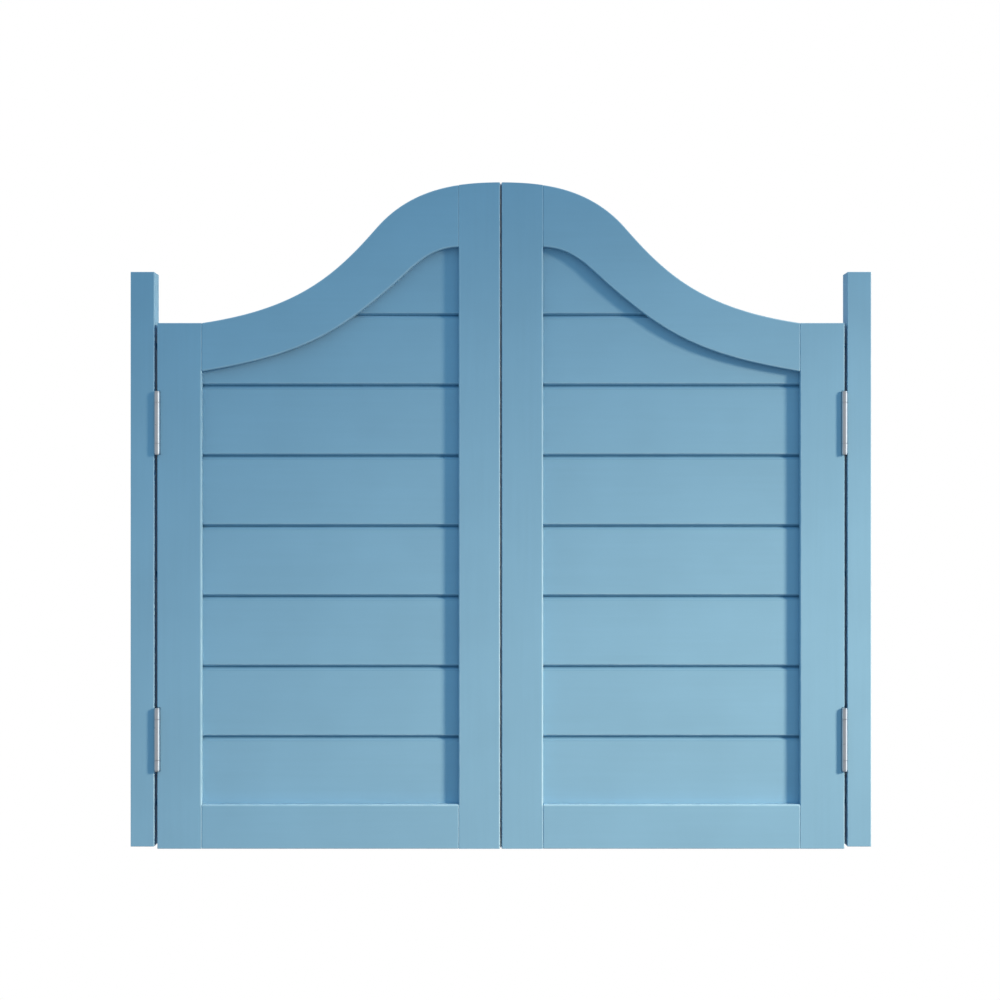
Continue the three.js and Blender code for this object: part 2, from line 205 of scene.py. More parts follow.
def joined(shells: Sequence[Shell]) -> Shell:
    """Several skins as one, with the point numbers of each moved past those before it.

    Args:
        shells: the skins.

    Returns:
        The one skin.
    """
    starts = np.cumsum([0] + [len(shell.points) for shell in shells])
    faces = [[n + int(start) for n in face] for shell, start in zip(shells, starts) for face in shell.faces]
    points = np.vstack([shell.points for shell in shells])
    return Shell(points, faces, np.concatenate([shell.arris for shell in shells]))


def skin_of_rings(rings: Array, arris: Array, ridged: bool = False) -> Shell:
    """Joins closed rings of points into a closed skin.

    Point (i, j) of the grid is the j-th point of the i-th ring, and a quad joins (i, j), (i, j + 1),
    (i + 1, j + 1) and (i + 1, j), with j counted round the ring. A flat face closes the first and the
    last ring, unless each of these is folded together to a line.

    Args:
        rings: points, by ring, by place in the ring, by coordinate.
        arris: eased-edge value of each point, by ring and by place in the ring.
        ridged: whether the first and the last ring are folded together already.

    Returns:
        The skin.
    """
    count, per_ring = rings.shape[:2]
    index = np.arange(count * per_ring).reshape(count, per_ring)
    after = np.roll(index, -1, axis=1)
    quads = np.stack([index[:-1], after[:-1], after[1:], index[1:]], axis=-1).reshape(-1, 4).tolist()
    caps = [] if ridged else [index[0, ::-1].tolist(), index[-1].tolist()]
    return Shell(rings.reshape(-1, 3), quads + caps, np.asarray(arris, float).ravel())


def eased_section(corners: Array, radii: Array, plain: Array) -> Array:
    """Replaces the corners of polygons by short parabolas.

    With b and a the directions from corner c to the corners before and after it, and r its radius, the
    curve is c + r ((1 - t)^2 b + t^2 a) for t from 0 to 1. One more point on each side holds the
    shading of the flats. A plain corner keeps its one point.

    Args:
        corners: corners of each polygon, by polygon, by corner, by coordinate.
        radii: how far from each corner its curve starts, by polygon and by corner.
        plain: which corners stay as they are.

    Returns:
        The points of the eased outlines, by polygon, by point, by coordinate.
    """
    before = unit(np.roll(corners, 1, axis=-2) - corners)[..., None, :]
    after = unit(np.roll(corners, -1, axis=-2) - corners)[..., None, :]
    t = np.linspace(0, 1, ARC_STEPS)
    back = np.concatenate([[HOLD], (1 - t) ** 2, [0]])[:, None]
    ahead = np.concatenate([[0], t**2, [HOLD]])[:, None]
    curves = corners[..., None, :] + radii[..., None, None] * (back * before + ahead * after)
    return curves[..., eased_points(plain), :]


def eased_points(plain: Array) -> Array:
    """Which points of the corners' curves are used: all of them, or the middle one of a plain corner.

    Args:
        plain: which corners stay as they are.

    Returns:
        By corner and by point of its curve, whether it is used.
    """
    every = np.ones((len(plain), ARC_STEPS + 2), bool)
    middle = np.arange(ARC_STEPS + 2) == (ARC_STEPS + 1) // 2
    return np.where(plain[:, None], middle, every)


def inset(corners: Array, distance: Array) -> Array:
    """Moves every side of a polygon inwards.

    A corner moves by distance times (m + n) / (1 + m . n), where m and n are the inward normals of the
    two sides that meet in it.

    Args:
        corners: corners in counter-clockwise order.
        distance: how far the sides move, one number for each new polygon.

    Returns:
        The new corners, by polygon, by corner, by coordinate.
    """
    along = unit(np.roll(corners, -1, axis=0) - corners)
    normal = np.stack([-along[:, 1], along[:, 0]], axis=-1)
    other = np.roll(normal, 1, axis=0)
    inwards = (normal + other) / (1 + (normal * other).sum(axis=1, keepdims=True))
    return corners + distance[:, None, None] * inwards


def prism(
    corners: Array,
    radii: Array | float,
    stations: Array,
    ease: float,
    ridged: bool = False,
    sunk: Array | float = 0.0,
) -> Shell:
    """A bar: one section carried along a straight line, with eased ends.

    Ring i is the section at station i. At both ends the rings follow a quarter circle: at angle a the
    ring lies ease (1 - cos a) from the end and its section is inset by ease (1 - sin a). A ridged end is
    closed by one more ring, the section folded together on its middle line, so that a mapping may curve it.

    Args:
        corners: corners of the section, counter-clockwise.
        radii: radius of each corner, one for all, or a row for each station; 0 keeps a corner plain.
        stations: places along the line, the first and the last being the ends.
        ease: radius of the eased ends.
        ridged: whether the ends are closed along their middle line.
        sunk: how deep each corner lies in a joint, from 0 to 1, which is how much shade the material paints
            on its points.

    Returns:
        A skin whose coordinates are the two of the section and the place along the line.
    """
    corners, stations = np.asarray(corners, float), np.asarray(stations, float)
    radii = np.broadcast_to(np.asarray(radii, float), (len(stations), len(corners)))
    plain = (radii == 0).all(axis=0)
    angle = np.linspace(0, math.pi / 2, EASE_STEPS)
    shrink = ease * np.concatenate([[HOLD], 1 - np.sin(angle), [0]])
    depth = ease * np.concatenate([[0], 1 - np.cos(angle), [HOLD]])
    between = np.arange(1, len(stations) - 1)
    station = np.concatenate([np.zeros(len(depth), int), between, np.full(len(depth), len(stations) - 1)])
    shrinks = np.concatenate([shrink, np.zeros(len(between)), shrink[::-1]])
    places = stations[station] + np.concatenate([depth, np.zeros(len(between)), -depth[::-1]])
    rounds = np.maximum(radii[station] - shrinks[:, None], LEAST_RADIUS)
    sections = eased_section(inset(corners, shrinks), rounds, plain)
    along = np.broadcast_to(places[:, None, None], sections.shape[:2] + (1,))
    on_arc = np.tile([0.0] + [1.0] * ARC_STEPS + [0.0], (len(corners), 1))
    sunk = np.broadcast_to(np.asarray(sunk, float), len(corners))[:, None]
    # Points of a sunk corner carry minus its depth, where the material paints shade.
    on_arc = np.where(sunk > 0, -sunk, np.where(plain[:, None], 0.0, on_arc))[eased_points(plain)]
    on_end = (shrinks > 0) & (shrinks < ease * (1 + HOLD) / 2)
    arris = np.where(on_end[:, None], 1.0, on_arc[None] * (shrinks == 0)[:, None])
    rings = np.concatenate([sections, along], axis=-1)
    if ridged:
        folded = rings[[0, -1]] * (1, 0, 1)
        rings = np.concatenate([folded[:1], rings, folded[1:]])
        arris = np.pad(arris, ((1, 1), (0, 0)))
    return skin_of_rings(rings, arris, ridged)


def rectangle(low_u: float, high_u: float, low_v: float, high_v: float) -> Array:
    """Corners of a rectangle, counter-clockwise."""
    return np.array([(low_u, low_v), (high_u, low_v), (high_u, high_v), (low_u, high_v)], float)


def turned_bar(profile: Array, x: float, y: float) -> Shell:
    """A solid turned about an upright axis, from its lowest to its highest profile point.

    Ring i is (x + r_i cos t, y + r_i sin t, z_i), with t going once round.

    Args:
        profile: radius and height of each ring, from the foot to the top.
        x: place of the axis.
        y: place of the axis.

    Returns:
        The skin, closed by a flat face at each end.
    """
    radius, height = np.asarray(profile, float).T[:, :, None]
    turn = np.linspace(0, 2 * math.pi, ROUND_STEPS, endpoint=False)[None]
    places = (x + radius * np.cos(turn), y + radius * np.sin(turn), height)
    rings = np.stack(np.broadcast_arrays(*places), axis=-1)
    return skin_of_rings(rings, np.zeros(rings.shape[:2]))


def carved(blank: Shell, joins: Sequence[Shell] = (), cuts: Sequence[Shell] = ()) -> Shell:
    """Joins skins to a skin and cuts others out of it, so that one closed skin is left.

    Args:
        blank: the skin to start from.
        joins: skins that are added.
        cuts: skins that are taken away afterwards.

    Returns:
        The skin that is left.
    """
    scene = bpy.context.scene.collection.objects
    shells = [blank, *joins, *cuts]
    objects = [bpy.data.objects.new("blank", shell.mesh("blank")) for shell in shells]
    for place, tool in enumerate(objects):
        scene.link(tool)
        if place:
            step = objects[0].modifiers.new(f"step_{place}", "BOOLEAN")
            step.operation = "UNION" if place <= len(joins) else "DIFFERENCE"
            step.solver = "MANIFOLD"
            step.object = tool
    result = objects[0].evaluated_get(bpy.context.evaluated_depsgraph_get())
    shell = shell_of(result.to_mesh())
    result.to_mesh_clear()
    for tool in objects:
        bpy.data.meshes.remove(tool.data)
    return shell


def shell_of(mesh: bpy.types.Mesh) -> Shell:
    """Reads a Blender mesh back into a shell.

    Args:
        mesh: the mesh.

    Returns:
        Its points, faces and eased-edge values.
    """
    points = np.empty(len(mesh.vertices) * 3, np.float32)
    mesh.vertices.foreach_get("co", points)
    starts = np.empty(len(mesh.polygons), np.int32)
    mesh.polygons.foreach_get("loop_start", starts)
    numbers = np.empty(len(mesh.loops), np.int32)
    mesh.loops.foreach_get("vertex_index", numbers)
    arris = np.zeros(len(mesh.vertices), np.float32)
    kept = mesh.attributes.get("arris")
    if kept is not None and len(kept.data) == len(arris):
        kept.data.foreach_get("value", arris)
    faces = [face.tolist() for face in np.split(numbers, starts[1:])]
    return Shell(points.reshape(-1, 3).astype(float), faces, arris.astype(float))


class NodeSheet:
    """Adds the nodes of one node tree and wires them."""

    def __init__(self, tree: Tree) -> None:
        """Starts on an emptied tree."""
        self.tree = tree
        tree.nodes.clear()

    def wire(self, node: Node, inputs: dict[str | int, Any]) -> None:
        """Sets inputs of a node.

        Args:
            node: the node.
            inputs: values or sockets by input name or number; a socket is wired, a value is set.
        """
        for name, value in inputs.items():
            if isinstance(value, Socket):
                self.tree.links.new(value, node.inputs[name])
            else:
                node.inputs[name].default_value = value

    def add(self, kind: str, inputs: dict[str | int, Any] | None = None, **settings: Any) -> Node:
        """Adds a node.

        Args:
            kind: Blender's name of the node type.
            inputs: values or sockets by input name or number.
            settings: other properties of the node.

        Returns:
            The node.
        """
        node = self.tree.nodes.new(kind)
        for name, value in settings.items():
            setattr(node, name, value)
        self.wire(node, inputs or {})
        return node

    def noise(self, vector: Socket, scale: float, detail: float) -> Socket:
        """A noise value at a scale, with so many octaves of detail."""
        inputs = {"Vector": vector, "Scale": scale, "Detail": detail}
        return self.add("ShaderNodeTexNoise", inputs).outputs[0]

    def ranged(
        self, value: Socket, start: float, end: float, low: float, high: float, shape: str = "LINEAR"
    ) -> Socket:
        """Values that run from low to high while the given one runs from start to end."""
        inputs = {"Value": value, "From Min": start, "From Max": end, "To Min": low, "To Max": high}
        return self.add("ShaderNodeMapRange", inputs, interpolation_type=shape).outputs[0]

    def spread(self, value: Socket, low: float, high: float) -> Socket:
        """Spreads a noise over a range of values."""
        return self.ranged(value, NOISE_LOW, NOISE_HIGH, low, high)

    def maths(self, operation: str, *values: Socket | float) -> Socket:
        """One sum, worked out from values or sockets."""
        return self.add("ShaderNodeMath", dict(enumerate(values)), operation=operation).outputs[0]

    def tinted(self, colour: Socket | Colour, value: Socket) -> Socket:
        """A colour made lighter or darker by a value."""
        return self.add("ShaderNodeVectorMath", {0: colour, "Scale": value}, operation="SCALE").outputs[0]

    def mixed(self, mask: Socket, under: Socket, over: Colour) -> Socket:
        """Lays a plain colour over another where a mask says so."""
        # The node has inputs of the same name for every type, so they go by number
        return self.add("ShaderNodeMix", {0: mask, 6: under, 7: (*over, 1.0)}, data_type="RGBA").outputs[2]


def effect_group(
    name: str, inputs: Sequence[str], outputs: Sequence[str]
) -> tuple[NodeSheet, bpy.types.NodeOutputs, Node]:
    """Starts a shader node group.

    Args:
        name: name of the group.
        inputs: names of its inputs.
        outputs: names of its outputs.

    Returns:
        The sheet to draw on, the sockets of the inputs by name, and the node that takes the outputs.
    """
    tree = bpy.data.node_groups.new(name, "ShaderNodeTree")
    for labels, direction in ((inputs, "INPUT"), (outputs, "OUTPUT")):
        for label in labels:
            kind = SOCKET_KINDS.get(label, "NodeSocketFloat")
            tree.interface.new_socket(label, in_out=direction, socket_type=kind)
    sheet = NodeSheet(tree)
    return sheet, sheet.add("NodeGroupInput").outputs, sheet.add("NodeGroupOutput")


@cache
def paint_film() -> Tree:
    """Brushed paint over planed wood: broad clouds in the tone, the grain and brush marks showing through.

    Returns:
        A group with the shared sockets, made on the first call.
    """
    sheet, given, made = effect_group("paint_film", EFFECT_INPUTS, EFFECT_OUTPUTS)
    clouds = sheet.noise(given["Place"], scale=9.0, detail=3.0)
    grain = sheet.noise(given["Figure"], scale=1.0, detail=4.0)
    bristles = sheet.noise(given["Figure"], scale=4.5, detail=2.0)
    peel = sheet.noise(given["Place"], scale=620.0, detail=1.0)
    grain_relief, bristle_relief, peel_relief = 0.6, 0.3, 0.35
    tone = sheet.maths("MULTIPLY", sheet.spread(clouds, 0.972, 1.028), sheet.spread(grain, 0.988, 1.012))
    planed = sheet.maths("MULTIPLY", grain, grain_relief)
    brushed = sheet.maths("MULTIPLY_ADD", bristles, bristle_relief, planed)
    sheen = sheet.maths("ADD", sheet.spread(clouds, 0.40, 0.47), sheet.spread(bristles, -0.03, 0.03))
    sheet.wire(made, {
        "Colour": sheet.tinted(given["Colour"], tone),
        "Roughness": sheen,
        "Height": sheet.maths("MULTIPLY_ADD", peel, peel_relief, brushed),
    })
    return sheet.tree


@cache
def drawn_metal() -> Tree:
    """Metal with fine lines left by drawing and polishing it, and faint stains.

    Returns:
        A group with the shared sockets, made on the first call.
    """
    sheet, given, made = effect_group("drawn_metal", EFFECT_INPUTS, EFFECT_OUTPUTS)
    lines = sheet.noise(given["Figure"], scale=1.0, detail=2.0)
    stain = sheet.noise(given["Place"], scale=90.0, detail=2.0)
    tone = sheet.maths("MULTIPLY", sheet.spread(lines, 0.97, 1.02), sheet.spread(stain, 0.97, 1.02))
    sheen = sheet.maths("ADD", sheet.spread(stain, 0.28, 0.34), sheet.spread(lines, -0.02, 0.02))
    sheet.wire(made, {"Colour": sheet.tinted(given["Colour"], tone), "Roughness": sheen, "Height": lines})
    return sheet.tree


@cache
def wear() -> Tree:
    """Eased edges, worn by hands and sandpaper and painted lighter as a highlight, and painted shade deep in
    the joints.

    Returns:
        A group that gives two masks, for the lighter edges and for the painted shade in the joints, made on
        the first call.
    """
    sheet, given, made = effect_group("wear", ("Place", "Arris", "Rub", "Dirt"), ("Rubbed", "Dirty"))
    broken = sheet.spread(sheet.noise(given["Place"], scale=55.0, detail=4.0), 0.4, 1.0)
    patchy = sheet.spread(sheet.noise(given["Place"], scale=30.0, detail=3.0), 0.85, 1.0)
    # Deep in a joint the arris value is below zero: there shade is painted.
    sunk = sheet.maths("MULTIPLY", given["Arris"], -1.0)
    # Eased edges are painted lighter, as worn and highlit; joints are painted darker, as shade.
    for name, place, amount, noise in (
        ("Rubbed", given["Arris"], given["Rub"], broken),
        ("Dirty", sunk, given["Dirt"], patchy),
    ):
        mask = sheet.maths("MULTIPLY", sheet.maths("MAXIMUM", place, 0.0), noise)
        sheet.wire(made, {name: sheet.maths("MULTIPLY", mask, amount)})
    return sheet.tree


@dataclass(frozen=True)
class Finish:
    """A surface finish that a material is made from. It is steel unless it says otherwise.

    Attributes:
        name: name of the material.
        slot: the record's material slot that it belongs to; not used.
        colour: main colour, linear.
        rubbed: colour of the eased edges, linear: worn, and lighter as a painted highlight.
        repeats: how often the fine figure repeats per metre in X, Y and Z.
        bump: height of the fine figure in metres.
        rub: how strongly the edges take that worn, highlit colour.
        dirty: a darker colour deep in the joints, linear, which on the paint is painted shade.
        dirt: how strongly that colour covers the main one there.
        metallic: 1 for bare metal, 0 for paint.
        effect: makes the node group with the finish's detail.
    """

    name: str
    slot: str
    colour: Colour
    rubbed: Colour
    repeats: Triple
    bump: float
    rub: float = 0.8
    dirty: Colour = (0.1, 0.1, 0.1)
    dirt: float = 0.5
    metallic: float = 1.0
    effect: Callable[[], Tree] = drawn_metal

    @cache
    def material(self) -> bpy.types.Material:
        """Makes the material on the first call.

        Returns:
            The material.
        """
        material = bpy.data.materials.new(self.name)
        material.use_nodes = True
        sheet = NodeSheet(material.node_tree)
        place = sheet.add("ShaderNodeTexCoord").outputs["Object"]
        arris = sheet.add("ShaderNodeAttribute", attribute_name="arris").outputs["Fac"]
        figure = sheet.add("ShaderNodeMapping", {"Vector": place, "Scale": self.repeats}).outputs[0]
        plain = {"Place": place, "Figure": figure, "Colour": (*self.colour, 1.0)}
        detail = sheet.add("ShaderNodeGroup", plain, node_tree=self.effect()).outputs
        use = {"Place": place, "Arris": arris, "Rub": self.rub, "Dirt": self.dirt}
        masks = sheet.add("ShaderNodeGroup", use, node_tree=wear()).outputs
        # Eased edges are painted lighter, as worn and highlit, and shade is painted deep in the joints.
        rubbed = sheet.mixed(masks["Rubbed"], detail["Colour"], self.rubbed)
        relief = {"Height": detail["Height"], "Distance": self.bump, "Strength": 1.0}
        surface = sheet.add("ShaderNodeBsdfPrincipled", {
            "Base Color": sheet.mixed(masks["Dirty"], rubbed, self.dirty),
            "Metallic": self.metallic,
            "Roughness": detail["Roughness"],
            "Normal": sheet.add("ShaderNodeBump", relief).outputs["Normal"],
        })
        sheet.add("ShaderNodeOutputMaterial", {"Surface": surface.outputs[0]})
        return material


UPRIGHT_PAINT = Finish(
    name="blue_paint_upright",
    slot="painted_wood",
    colour=(0.193, 0.41, 0.6),
    # Lighter eased edges: worn paint and a painted highlight
    rubbed=(0.31, 0.54, 0.71),
    repeats=Grain.UPRIGHT.value,
    bump=0.06 * MM,
    # Deep blue painted shade in the V joints of the boards and on the arris below each V
    dirty=(0.005, 0.11, 0.25),
    dirt=0.67,
    metallic=0.0,
    effect=paint_film,
)
LEVEL_PAINT = replace(UPRIGHT_PAINT, name="blue_paint_level", repeats=Grain.LEVEL.value)
# On the steels the lighter edge colour is worn metal and a painted highlight
SATIN_STEEL = Finish(
    name="satin_nickel_steel",
    slot="satin_steel",
    colour=(0.8, 0.79, 0.8),
    rubbed=(0.88, 0.87, 0.88),
    repeats=(2600.0, 2600.0, 90.0),
    bump=0.0006 * MM,
)
SPRING_STEEL = Finish(
    name="oiled_spring_steel",
    slot="spring_steel",
    colour=(0.38, 0.38, 0.4),
    rubbed=(0.5, 0.5, 0.52),
    repeats=(300.0, 300.0, 900.0),
    bump=0.01 * MM,
    rub=0.5,
    dirty=(0.1, 0.09, 0.08),
)
SCREW_STEEL = Finish(
    name="screw_steel",
    slot="satin_steel",
    colour=(0.62, 0.63, 0.66),
    rubbed=(0.8, 0.8, 0.82),
    repeats=(500.0, 900.0, 900.0),
    bump=0.02 * MM,
)

BODY_OF_NODE: dict[str, str] = {
    node: body for body, nodes in frame["record"]["behaviour"]["bodies"].items() for node in nodes
}


def reach_of(node: str) -> tuple[float, float]:
    """Near and far end of a CAD node, as distances from the centre line."""
    low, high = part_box(node)
    return tuple(sorted((abs(low.x), abs(high.x))))


def dress(name: str, node: str, shell: Shell, finish: Finish, stands_for: bool = True) -> None:
    """Makes a finished piece and lets it ride where its CAD node rides.

    Args:
        name: name of the piece.
        node: the CAD node that it belongs to.
        shell: its skin, in place.
        finish: its finish.
        stands_for: whether it takes the node's place.
    """
    piece = bpy.data.objects.new(name, shell.mesh(name))
    bpy.context.scene.collection.objects.link(piece)
    piece.data.materials.append(finish.material())
    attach(piece, BODY_OF_NODE[node])
    if stands_for:
        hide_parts(node)
    log.info("%s: %d faces, rides on %s", name, len(piece.data.polygons), BODY_OF_NODE[node])


class Edge:
    """An edge of a framing piece: a height over every place across the leaf."""

    def height(self, out: Array) -> Array:
        """Height of the edge over each place."""
        raise NotImplementedError

    def stretch(self, out: Array) -> Array:
        """How much further up one goes than square to the edge, which is 1 on a level edge."""
        return np.ones_like(out)


@dataclass(frozen=True)
class LevelEdge(Edge):
    """A level edge at one height."""

    level: float

    def height(self, out: Array) -> Array:
        """The same height over each place."""
        return np.full_like(out, self.level)


@dataclass(frozen=True)
class Ogee(Edge):
    """An S-shaped edge of two cubic Bezier curves that meet at the turn.

    Attributes:
        near: where the curve starts, at the crest.
        far: where it ends, at the shoulder.
        top: height of the crest.
        foot: height of the shoulder.
        shares: the control points between, as shares of the run and of the fall.
        samples: points worked out on each half.
    """

    near: float
    far: float
    top: float
    foot: float
    shares: tuple[tuple[float, float], ...]
    samples: int = 160

    def curve(self) -> tuple[Array, Array]:
        """Places and heights along the curve.

        Each half is the sum of its four control points, weighted by (1 - t)^3, 3 t (1 - t)^2,
        3 t^2 (1 - t) and t^3.

        Returns:
            The places and the heights.
        """
        crest, before, turn, after, foot = self.shares
        t = np.linspace(0, 1, self.samples)[:, None]
        weights = np.hstack([(1 - t) ** 3, 3 * t * (1 - t) ** 2, 3 * t**2 * (1 - t), t**3])
        upper = weights @ np.array([(0, 0), crest, before, turn])
        lower = weights @ np.array([turn, after, foot, (1, 1)])
        across, down = np.vstack([upper, lower[1:]]).T
        return self.near + across * (self.far - self.near), self.top + down * (self.foot - self.top)

    def height(self, out: Array) -> Array:
        """Height of the curve over each place."""
        return np.interp(out, *self.curve())

    def stretch(self, out: Array) -> Array:
        """The square root of one plus the slope squared, over each place."""
        places, heights = self.curve()
        return np.interp(out, places, np.hypot(1, np.gradient(heights, places)))


@dataclass(frozen=True)
class Rail:
    """A level piece of wood between two edges, with all its arrises eased.

    Attributes:
        low: its lower edge.
        high: its upper edge.
        near: its end nearer the centre line.
        far: its end nearer the wall.
        half: half its thickness.
        low_round: radius of its lower arrises.
        high_round: radius of its upper arrises.
        end_round: radius of the arrises round its ends.
        steps: places along it where its edges are followed.
    """

    low: Edge
    high: Edge
    near: float
    far: float
    half: float
    low_round: float
    high_round: float
    end_round: float
    steps: int = 2

    def height(self, u: Array, out: Array) -> Array:
        """Where points of a nominal bar of height 1 lie between the two edges.

        A point at height u of the bar goes to u above the lower edge if u is under one half, and to 1 - u
        below the upper edge otherwise, both measured square to the edge.

        Args:
            u: heights in the bar.
            out: places along it.

        Returns:
            The heights of the points.
        """
        from_low = self.low.height(out) + u * self.low.stretch(out)
        from_high = self.high.height(out) - (1 - u) * self.high.stretch(out)
        return np.where(u < 0.5, from_low, from_high)

    def shell(self, side: Side) -> Shell:
        """The rail's skin: a nominal bar carried from the near to the far end, put between the edges.

        Args:
            side: the side of the doorway.

        Returns:
            The skin.
        """
        radii = (self.low_round, self.high_round, self.high_round, self.low_round)
        stations = np.linspace(self.near, self.far, self.steps)
        bar = prism(rectangle(0, 1, -self.half, self.half), radii, stations, self.end_round)
        return bar.mapped(lambda u, y, out: (side.value * out, y, self.height(u, out)))


@dataclass(frozen=True)
class Upright:
    """A stile or jamb: a section carried up from its foot to its upper edge.

    Attributes:
        near: its edge nearer the centre line.
        far: its edge nearer the wall.
        half: half its thickness.
        foot: height of its foot.
        top: its upper edge.
        round: radius of its arrises.
        end_round: radius of the arrises round its foot and its top.
        near_round: radius of its near arrises where they border the opening.
        far_round: radius of its far arrises where they border the opening.
        opening: heights between which it borders the opening.
        joint_round: radius of those arrises above and below the opening, where a rail meets them.
        run_out: height over which one radius runs into the other.
        crown: how far its near edge stands back at the faces, so that it swings past its neighbour.
        crown_nose: radius of the nose in the middle of that edge.
        crown_steps: corners along that edge.
        crown_share: share of the thickness that they are spread over.
        face_steps: corners along the front and along the back.
    """

    near: float
    far: float
    half: float
    foot: float
    top: Edge
    round: float
    end_round: float
    near_round: float | None = None
    far_round: float | None = None
    opening: tuple[float, float] = (0.0, 0.0)
    joint_round: float = 0.0
    run_out: float = 4 * MM
    crown: float = 0.0
    crown_nose: float = 1 * MM
    crown_steps: int = 13
    crown_share: float = 0.8
    face_steps: int = 9

    def section(self) -> Array:
        """Corners of the section in out and y: front, middle of the far edge, back, near edge.

        Steps along the front and the back let them follow a curved upper edge. At depth y the near edge
        stands back by a hyperbola, the root of y^2 + nose^2 less nose, scaled to be crown at the faces.

        Returns:
            The corners, counter-clockwise.
        """
        across = np.linspace(self.near + self.crown, self.far, self.face_steps)
        front = np.stack([across, np.full_like(across, -self.half)], axis=-1)
        share = np.linspace(1, -1, self.crown_steps if self.crown else 1) * bool(self.crown)
        y = self.crown_share * self.half * share * np.abs(share)
        nose = self.crown_nose
        back = (np.hypot(y, nose) - nose) / (math.hypot(self.half, nose) - nose)
        edge = np.stack([self.near + self.crown * back, y], axis=-1)
        return np.vstack([front, [(self.far, 0.0)], front[::-1] * (1, -1), edge])

    def radii(self, borders: Array) -> Array:
        """Radius of each corner at each station.

        Args:
            borders: for each station, whether the piece borders the opening there.

        Returns:
            One row of radii for each station.
        """
        near, far = (
            np.full(len(borders), self.round) if at_opening is None
            else np.where(borders, at_opening, self.joint_round)
            for at_opening in (self.near_round, self.far_round)
        )
        rows = np.zeros((len(borders), len(self.section())))
        rows[:, [0, 2 * self.face_steps]] = near[:, None]
        rows[:, [self.face_steps - 1, self.face_steps + 1]] = far[:, None]
        return rows

    def shell(self, side: Side) -> Shell:
        """The piece's skin on one side of the doorway.

        In the upper half every point is moved by the fall of the upper edge over its place.

        Args:
            side: the side of the doorway.

        Returns:
            The skin.
        """
        head = float(self.top.height(np.array([self.near]))[0])
        low, high = self.opening
        bordered = [low - self.run_out, low, high, high + self.run_out] if high else []
        levels = [self.foot, *bordered, head]
        borders = np.array(levels) == np.clip(levels, low, high)
        bar = prism(self.section(), self.radii(borders), np.array(levels), self.end_round, ridged=True)
        return bar.mapped(lambda out, y, z: (
            side.value * out,
            y,
            np.where(z > head / 2, z + self.top.height(out) - head, z),
        ))


@dataclass(frozen=True)
class Barrel:
    """The two barrels of a hinge, as the CAD has them.

    Attributes:
        out: distance of both axes from the centre line.
        offset: distance of each axis from the middle of the leaf.
        radius: radius of a barrel.
        length: length of a barrel with its caps.
    """

    out: float = 463.85 * MM
    offset: float = 18.4 * MM
    radius: float = 3.9 * MM
    length: float = 86 * MM


@dataclass(frozen=True)
class Jamb:
    """An upright at the wall, with three countersunk holes for the wall screws.

    Attributes:
        side: the side of the doorway.
        hole_heights: heights of the holes.
        hole: radius of a hole.
        sink: radius of a countersink at its mouth.
        sink_depth: depth of a countersink.
        over: how far a tool reaches past a face.
        round: radius of its arrises.
        end_round: radius of the arrises round its foot and its top.
    """

    side: Side
    hole_heights: tuple[float, ...] = (60 * MM, 370 * MM, 680 * MM)
    hole: float = 2.75 * MM
    sink: float = 5.5 * MM
    sink_depth: float = 3 * MM
    over: float = 2 * MM
    round: float = 1 * MM
    end_round: float = 0.6 * MM

    def drill(self, near: float, far: float, height: float) -> Shell:
        """The tool that drills and countersinks one hole, turned about an axis along X.

        Args:
            near: the jamb's face towards the leaf.
            far: its face on the wall.
            height: height of the hole.

        Returns:
            The tool's skin.
        """
        slope = (self.sink - self.hole) / self.sink_depth
        profile = [
            (self.sink + slope * self.over, near - self.over),
            (self.hole, near + self.sink_depth),
            (self.hole, far + self.over),
        ]
        bar = turned_bar(profile, 0.0, 0.0)
        return bar.mapped(lambda a, b, out: (self.side.value * out, a, height + b))

    def build(self) -> None:
        """Makes the upright."""
        node = f"{self.side.label}_jamb"
        low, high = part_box(node)
        near, far = reach_of(node)
        bar = Upright(near, far, high.y, low.z, LevelEdge(high.z), self.round, self.end_round)
        drills = [self.drill(near, far, height) for height in self.hole_heights]
        dress(f"{node}_finished", node, carved(bar.shell(self.side), cuts=drills), UPRIGHT_PAINT)


